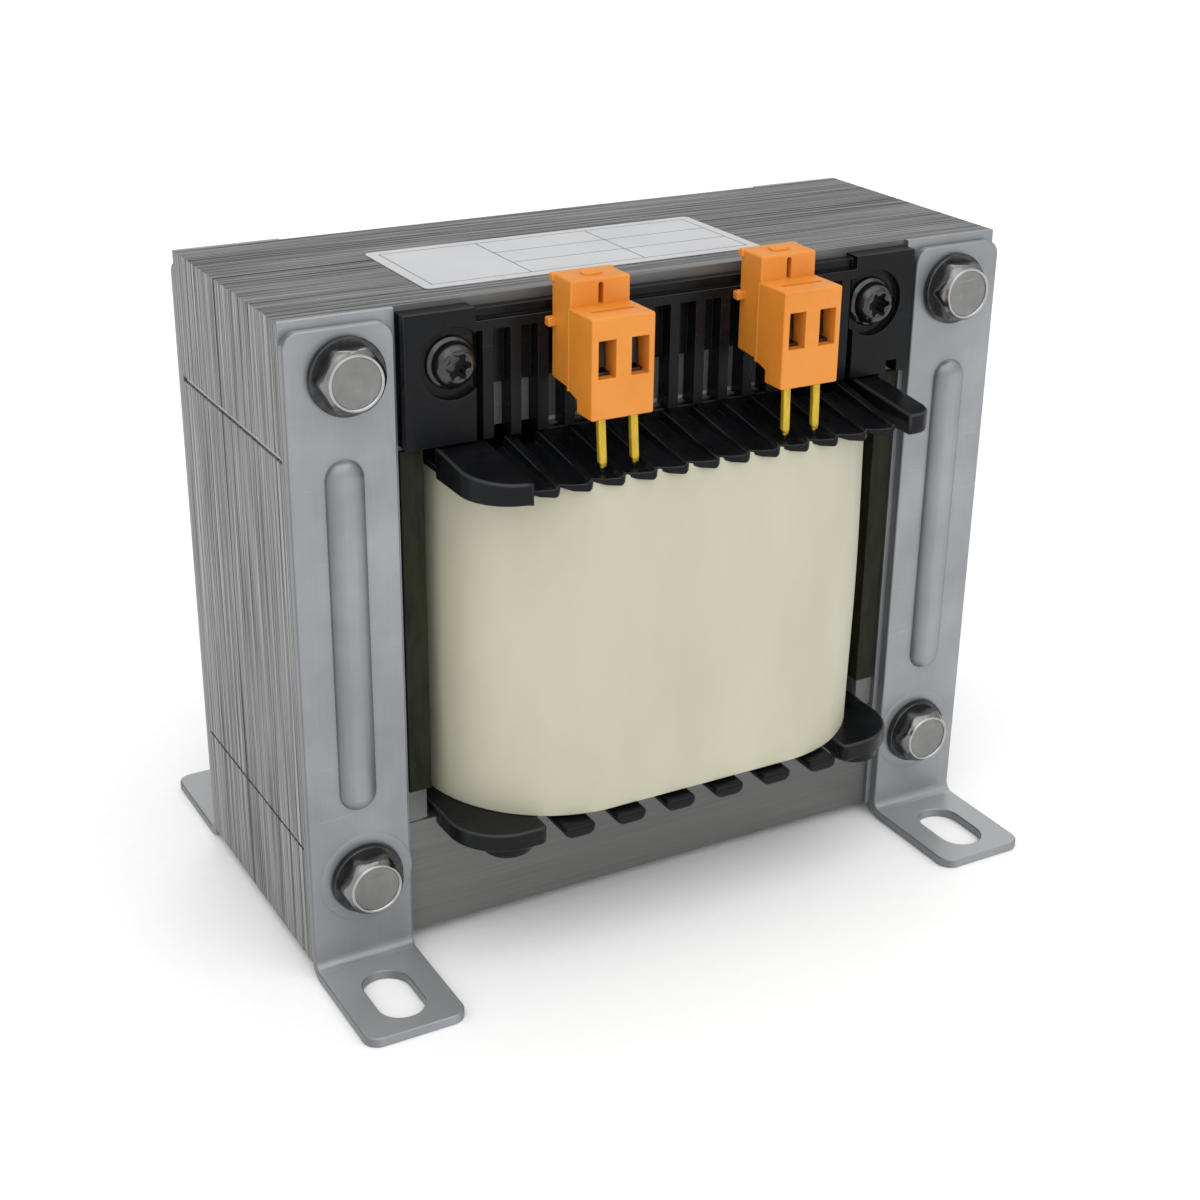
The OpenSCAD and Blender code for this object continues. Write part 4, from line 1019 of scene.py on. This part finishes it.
HOOK_DEPTH, HOOK_BACK, HOOK_DROP, HOOK_RISE = in_mm(1.2, 0.3, 1.4, 0.1)
HOOK_EDGE = 0.3 * MM
LIP, SEAM_RISE = in_mm(0.5, 0.12)
ORANGE_SHADE, ORANGE = (0.65, 0.222, 0.020), (0.685, 0.238, 0.024)
ORANGE_LIGHT = (0.71, 0.26, 0.031)

orange, tree, shader = new_material(
    "orange_plastic", specular_ior_level=0.45, subsurface_weight=0.12, subsurface_scale=0.0012,
)
flow = ramp(tree, grain(tree, 0.12), (0.3, ORANGE_SHADE), (0.45, ORANGE), (0.75, ORANGE_LIGHT))
coat(shader, flow, ramp(tree, marks(tree, 0.35)[1], (0, 0.36), (1, 0.50)),
     grain(tree, 5.0), 0.012, 0.4)

terminal_low, terminal_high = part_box("right_terminal")
back_y, front_y = -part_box("terminal_carrier")[0].y, -terminal_low.y
top_z = terminal_high.z - PAD_RISE
step_y, step_z = back_y + UPPER_DEPTH, top_z - UPPER_HEIGHT
foot_y, foot_z = front_y - FRONT_FOOT, step_z - FRONT_HEIGHT
rear_z = foot_z + REAR_RISE


def sink(bm, middle, size, push):
    """Sinks a pocket into the face that holds that window, whose size has one zero."""
    cut_window(bm, *zip(*(row for row in zip("xyz", middle, size) if row[2])))
    push = Vector(push)
    lids = [
        face for face in bm.faces
        if face.normal.dot(push) < -0.9 * push.length
        and all(abs(c - m) < max(s / 2 - MERGE, MERGE)
                for c, m, s in zip(face.calc_center_median(), middle, size))
    ]
    push_faces(bm, lids, push)
    bmesh.ops.delete(bm, geom=lids, context="FACES_ONLY")


def terminal_mesh(x):
    """One terminal housing, its middle at x."""
    bm = bmesh.new()
    half = TERMINAL_HALF - TERMINAL_STEP
    rear = [(-back_y, rear_z), (-back_y, step_z), (-step_y, step_z),
            (-foot_y, step_z - UPPER_HEIGHT), (-foot_y, rear_z - REAR_FALL)]
    shell = prism([(x - half, y, z) for y, z in rear], (2 * half, 0, 0))
    ease(shell, [e for e in sharp_edges(shell) if min(v.co.z for v in e.verts) < step_z - MERGE],
         TERMINAL_EDGE)
    add_shell(bm, shell)

    shell = box_between((x - half, -step_y, step_z), (x + half, -back_y, top_z))
    ease(shell, [e for e in sharp_edges(shell) if max(v.co.z for v in e.verts) > step_z + MERGE],
         TERMINAL_EDGE)
    slot_low, slot_high = step_z + LIP / 5, step_z + KEY_HEIGHT
    sink(shell, (x, -step_y, (slot_low + slot_high) / 2),
         (KEY_WIDTH, 0, slot_high - slot_low), (0, KEY_DEPTH, 0))
    slot_top = edges_along(shell, "y", lambda m: abs(m.z - slot_high) < MERGE and m.y > -step_y
                           and abs(m.x - x) < KEY_WIDTH)
    ease(shell, slot_top, 0.45 * KEY_WIDTH, 5)
    add_shell(bm, shell)

    front = [(-step_y + LIP, step_z), (-front_y, step_z), (-front_y, foot_z),
             (-foot_y, foot_z), (-foot_y, foot_z + FOOT_RISE), (-step_y + LIP, rear_z - REAR_FALL)]
    shell = prism([(x - TERMINAL_HALF, y, z) for y, z in front], (2 * TERMINAL_HALF, 0, 0))
    seam = edges_along(shell, "z", lambda m: abs(m.y + step_y - LIP) < MERGE)
    ease(shell, [e for e in sharp_edges(shell) if e not in seam], TERMINAL_EDGE)
    for pole in (x - FIN_PITCH / 2, x + FIN_PITCH / 2):
        sink(shell, (pole, -front_y, step_z - ENTRY_DROP - ENTRY_HEIGHT / 2),
             (ENTRY_WIDTH, 0, ENTRY_HEIGHT), (0, ENTRY_DEPTH, 0))
    sink(shell, (x, -(step_y + front_y) / 2, step_z), (GROOVE_LENGTH, GROOVE_WIDTH, 0),
         (0, 0, -GROOVE_DEPTH))
    add_shell(bm, shell)

    pad_y = -back_y - UPPER_DEPTH / 2
    shell = box_between((x - PAD_WIDTH / 2, pad_y - PAD_DEPTH / 2, top_z - LIP),
                        (x + PAD_WIDTH / 2, pad_y + PAD_DEPTH / 2, terminal_high.z))
    ease(shell, edges_along(shell, "z"), PAD_CORNER, 6)
    add_shell(bm, shell, PAD_EDGE)

    latch_z = step_z - LATCH_DROP
    add_box(bm, (x - TERMINAL_HALF - LATCH_REACH, -back_y - LATCH_DEPTH, latch_z),
            (x - TERMINAL_HALF / 2, -back_y, latch_z + LATCH_HEIGHT), LATCH_EDGE)
    add_box(bm, (x - half - LIP, -back_y - HOOK_DEPTH, top_z - HOOK_DROP),
            (x + half, -back_y + HOOK_BACK, top_z + HOOK_RISE), HOOK_EDGE)
    add_box(bm, (x - TERMINAL_HALF - SEAM_RISE, -step_y, rear_z - REAR_FALL),
            (x + TERMINAL_HALF + SEAM_RISE, -step_y + LIP, step_z - TERMINAL_EDGE), SEAM_RISE / 2)
    return bm


for side, x in (("left", -TERMINAL_X), ("right", TERMINAL_X)):
    make_piece(terminal_mesh(x), side + "_terminal_housing", orange, "orange_plastic",
               side + "_terminal")


# Clamps and lead pins
# A steel spring clamp stands in each wire entry; a tongue of it fills the entry, and its dark
# colour is painted shade of the entry's depth. A flat yellow pin comes out under each, leans a
# little, ends in a slanted point above the flange and carries the winding's enamelled lead.
CLAMP_EDGE = 0.1 * MM
TONGUE_BACK, TONGUE_THICK, TONGUE_LEAN, TONGUE_EDGE = in_mm(3.2, 0.5, 0.6, 0.12)
TONGUE_HALF, TONGUE_TOP, TONGUE_LOW = 0.45, 0.08, 0.85
PIN_WIDTH, PIN_DEPTH, PIN_POINT, PIN_EDGE = in_mm(1.5, 1.2, 1.1, 0.25)
PIN_LEANS = {-TERMINAL_X: 0.9 * MM, TERMINAL_X: 0.4 * MM}
POINT_WIDTH, POINT_DEPTH, POINT_SIDE = 0.4, 0.6, 0.25
LEAD_WIDTH, ENAMEL = 0.6 * MM, (0.02, 0.011, 0.007)
SPRING_DARK, SPRING_LIGHT = (0.05, 0.05, 0.052), (0.10, 0.10, 0.105)
BRASS_DARK, BRASS_LIGHT = (0.47, 0.31, 0.012), (0.68, 0.48, 0.035)

poles = [(x + pole, lean) for x, lean in PIN_LEANS.items()
         for pole in (-FIN_PITCH / 2, FIN_PITCH / 2)]

# The spring steel is made dark as painted shade inside the wire entries.
spring, tree, shader = new_material("spring_steel", metallic=1.0)
rolled = grain(tree, 2.5, (1, 1, 0.05))
coat(shader, blend(tree, rolled, SPRING_DARK, SPRING_LIGHT),
     blend(tree, rolled, 0.25, 0.4))
bm = eased_copy("terminal_clamps", CLAMP_EDGE, 2)
entry_top, tongue_y = step_z - ENTRY_DROP, -front_y + TONGUE_BACK
# Each tongue is the real clamp, made to fill its entry so that the entry reads as shade.
for x, _ in poles:
    shell = box_between(
        (x - TONGUE_HALF * ENTRY_WIDTH, tongue_y, entry_top - TONGUE_LOW * ENTRY_HEIGHT),
        (x + TONGUE_HALF * ENTRY_WIDTH, tongue_y + TONGUE_THICK,
         entry_top - TONGUE_TOP * ENTRY_HEIGHT),
    )
    for vert in shell.verts:
        vert.co.y += TONGUE_LEAN * (vert.co.z - entry_top + ENTRY_HEIGHT) / ENTRY_HEIGHT
    add_shell(bm, shell, TONGUE_EDGE, 2)
make_piece(bm, "terminal_clamp_springs", spring, "spring_steel", "terminal_clamps")

pin_low, pin_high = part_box("lead_pins")
pin_y = (pin_low.y + pin_high.y) / 2
point_z = coil_top + FLANGE_THICK
brass, tree, shader = new_material("lead_brass", metallic=0.35)
plate = grain(tree, 1.2, (1, 1, 0.2))
yellow = blend(tree, plate, BRASS_DARK, BRASS_LIGHT)
bare = reckon(tree, "GREATER_THAN", along(tree, "Z"), point_z)
coat(shader, mix(tree, bare, ENAMEL, yellow), blend(tree, plate, 0.30, 0.45))
bm = bmesh.new()
for x, lean in poles:
    blade = box_between((x - PIN_WIDTH / 2, pin_y - PIN_DEPTH / 2, point_z),
                        (x + PIN_WIDTH / 2, pin_y + PIN_DEPTH / 2, pin_high.z))
    cut_at(blade, "z", point_z + PIN_POINT)
    for vert in blade.verts:
        if vert.co.z < point_z + MERGE:
            vert.co.x = x + POINT_SIDE * PIN_WIDTH + (vert.co.x - x) * POINT_WIDTH
            vert.co.y = pin_y + (vert.co.y - pin_y) * POINT_DEPTH
    soften(blade, PIN_EDGE)
    lead = box_between((x - LEAD_WIDTH / 2, pin_y - LEAD_WIDTH / 2, pin_low.z),
                       (x + LEAD_WIDTH / 2, pin_y + LEAD_WIDTH / 2, point_z + PIN_POINT))
    soften(lead, LEAD_WIDTH / 5)
    for shell in (blade, lead):
        for vert in shell.verts:
            vert.co.x += lean * min(1, (pin_high.z - vert.co.z) / (pin_high.z - point_z))
        add_shell(bm, shell)
make_piece(bm, "lead_pin_blades", brass, "lead_brass", "lead_pins")


# Label
# A satin white film label stuck to the top yoke. It carries no words: only a plain printed frame
# and a few empty ruled boxes.
LABEL_CORNER, LABEL_EDGE = in_mm(1.2, 0.06)
RULE_WIDTH, RULE_RISE, RULE_MARGIN = in_mm(0.28, 0.015, 2.2)
COLUMNS, ROWS = (0.3, 0.66), (0.33, 0.66)
FILM_DARK, FILM_LIGHT = (0.50, 0.505, 0.52), (0.555, 0.56, 0.575)
INK_DARK, INK_LIGHT = (0.16, 0.17, 0.20), (0.24, 0.25, 0.28)

film, tree, shader = new_material("label_film", specular_ior_level=0.4)
tooth = grain(tree, 1.5)
coat(shader, blend(tree, grain(tree, 0.05), FILM_DARK, FILM_LIGHT),
     blend(tree, tooth, 0.38, 0.5), tooth, 0.01, 0.3)
label_low, label_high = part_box("rating_label")
bm = box_between(label_low, label_high)
ease(bm, edges_along(bm, "z"), LABEL_CORNER, 6)
soften(bm, LABEL_EDGE, 2)
make_piece(bm, "label_film_plate", film, "label_film", "rating_label")

ink, tree, shader = new_material("label_ink", roughness=0.55)
coat(shader, blend(tree, grain(tree, 2.0), INK_DARK, INK_LIGHT))
left, right = label_low.x + RULE_MARGIN, label_high.x - RULE_MARGIN
near, far = label_low.y + RULE_MARGIN, label_high.y - RULE_MARGIN
columns = [left, right] + [left + (right - left) * share for share in COLUMNS]
rows = [near + (far - near) * share for share in ROWS]
rules = [(left, near, right, near), (left, far, right, far)]
rules += [(x, near, x, far) for x in columns]
rules += [(columns[2], y, right, y) for y in rows]
half = RULE_WIDTH / 2
bm = bmesh.new()
for x0, y0, x1, y1 in rules:
    add_shell(bm, box_between((x0 - half, y0 - half, label_high.z - RULE_RISE),
                              (x1 + half, y1 + half, label_high.z + RULE_RISE)))
make_piece(bm, "label_rules", ink, "label_film")
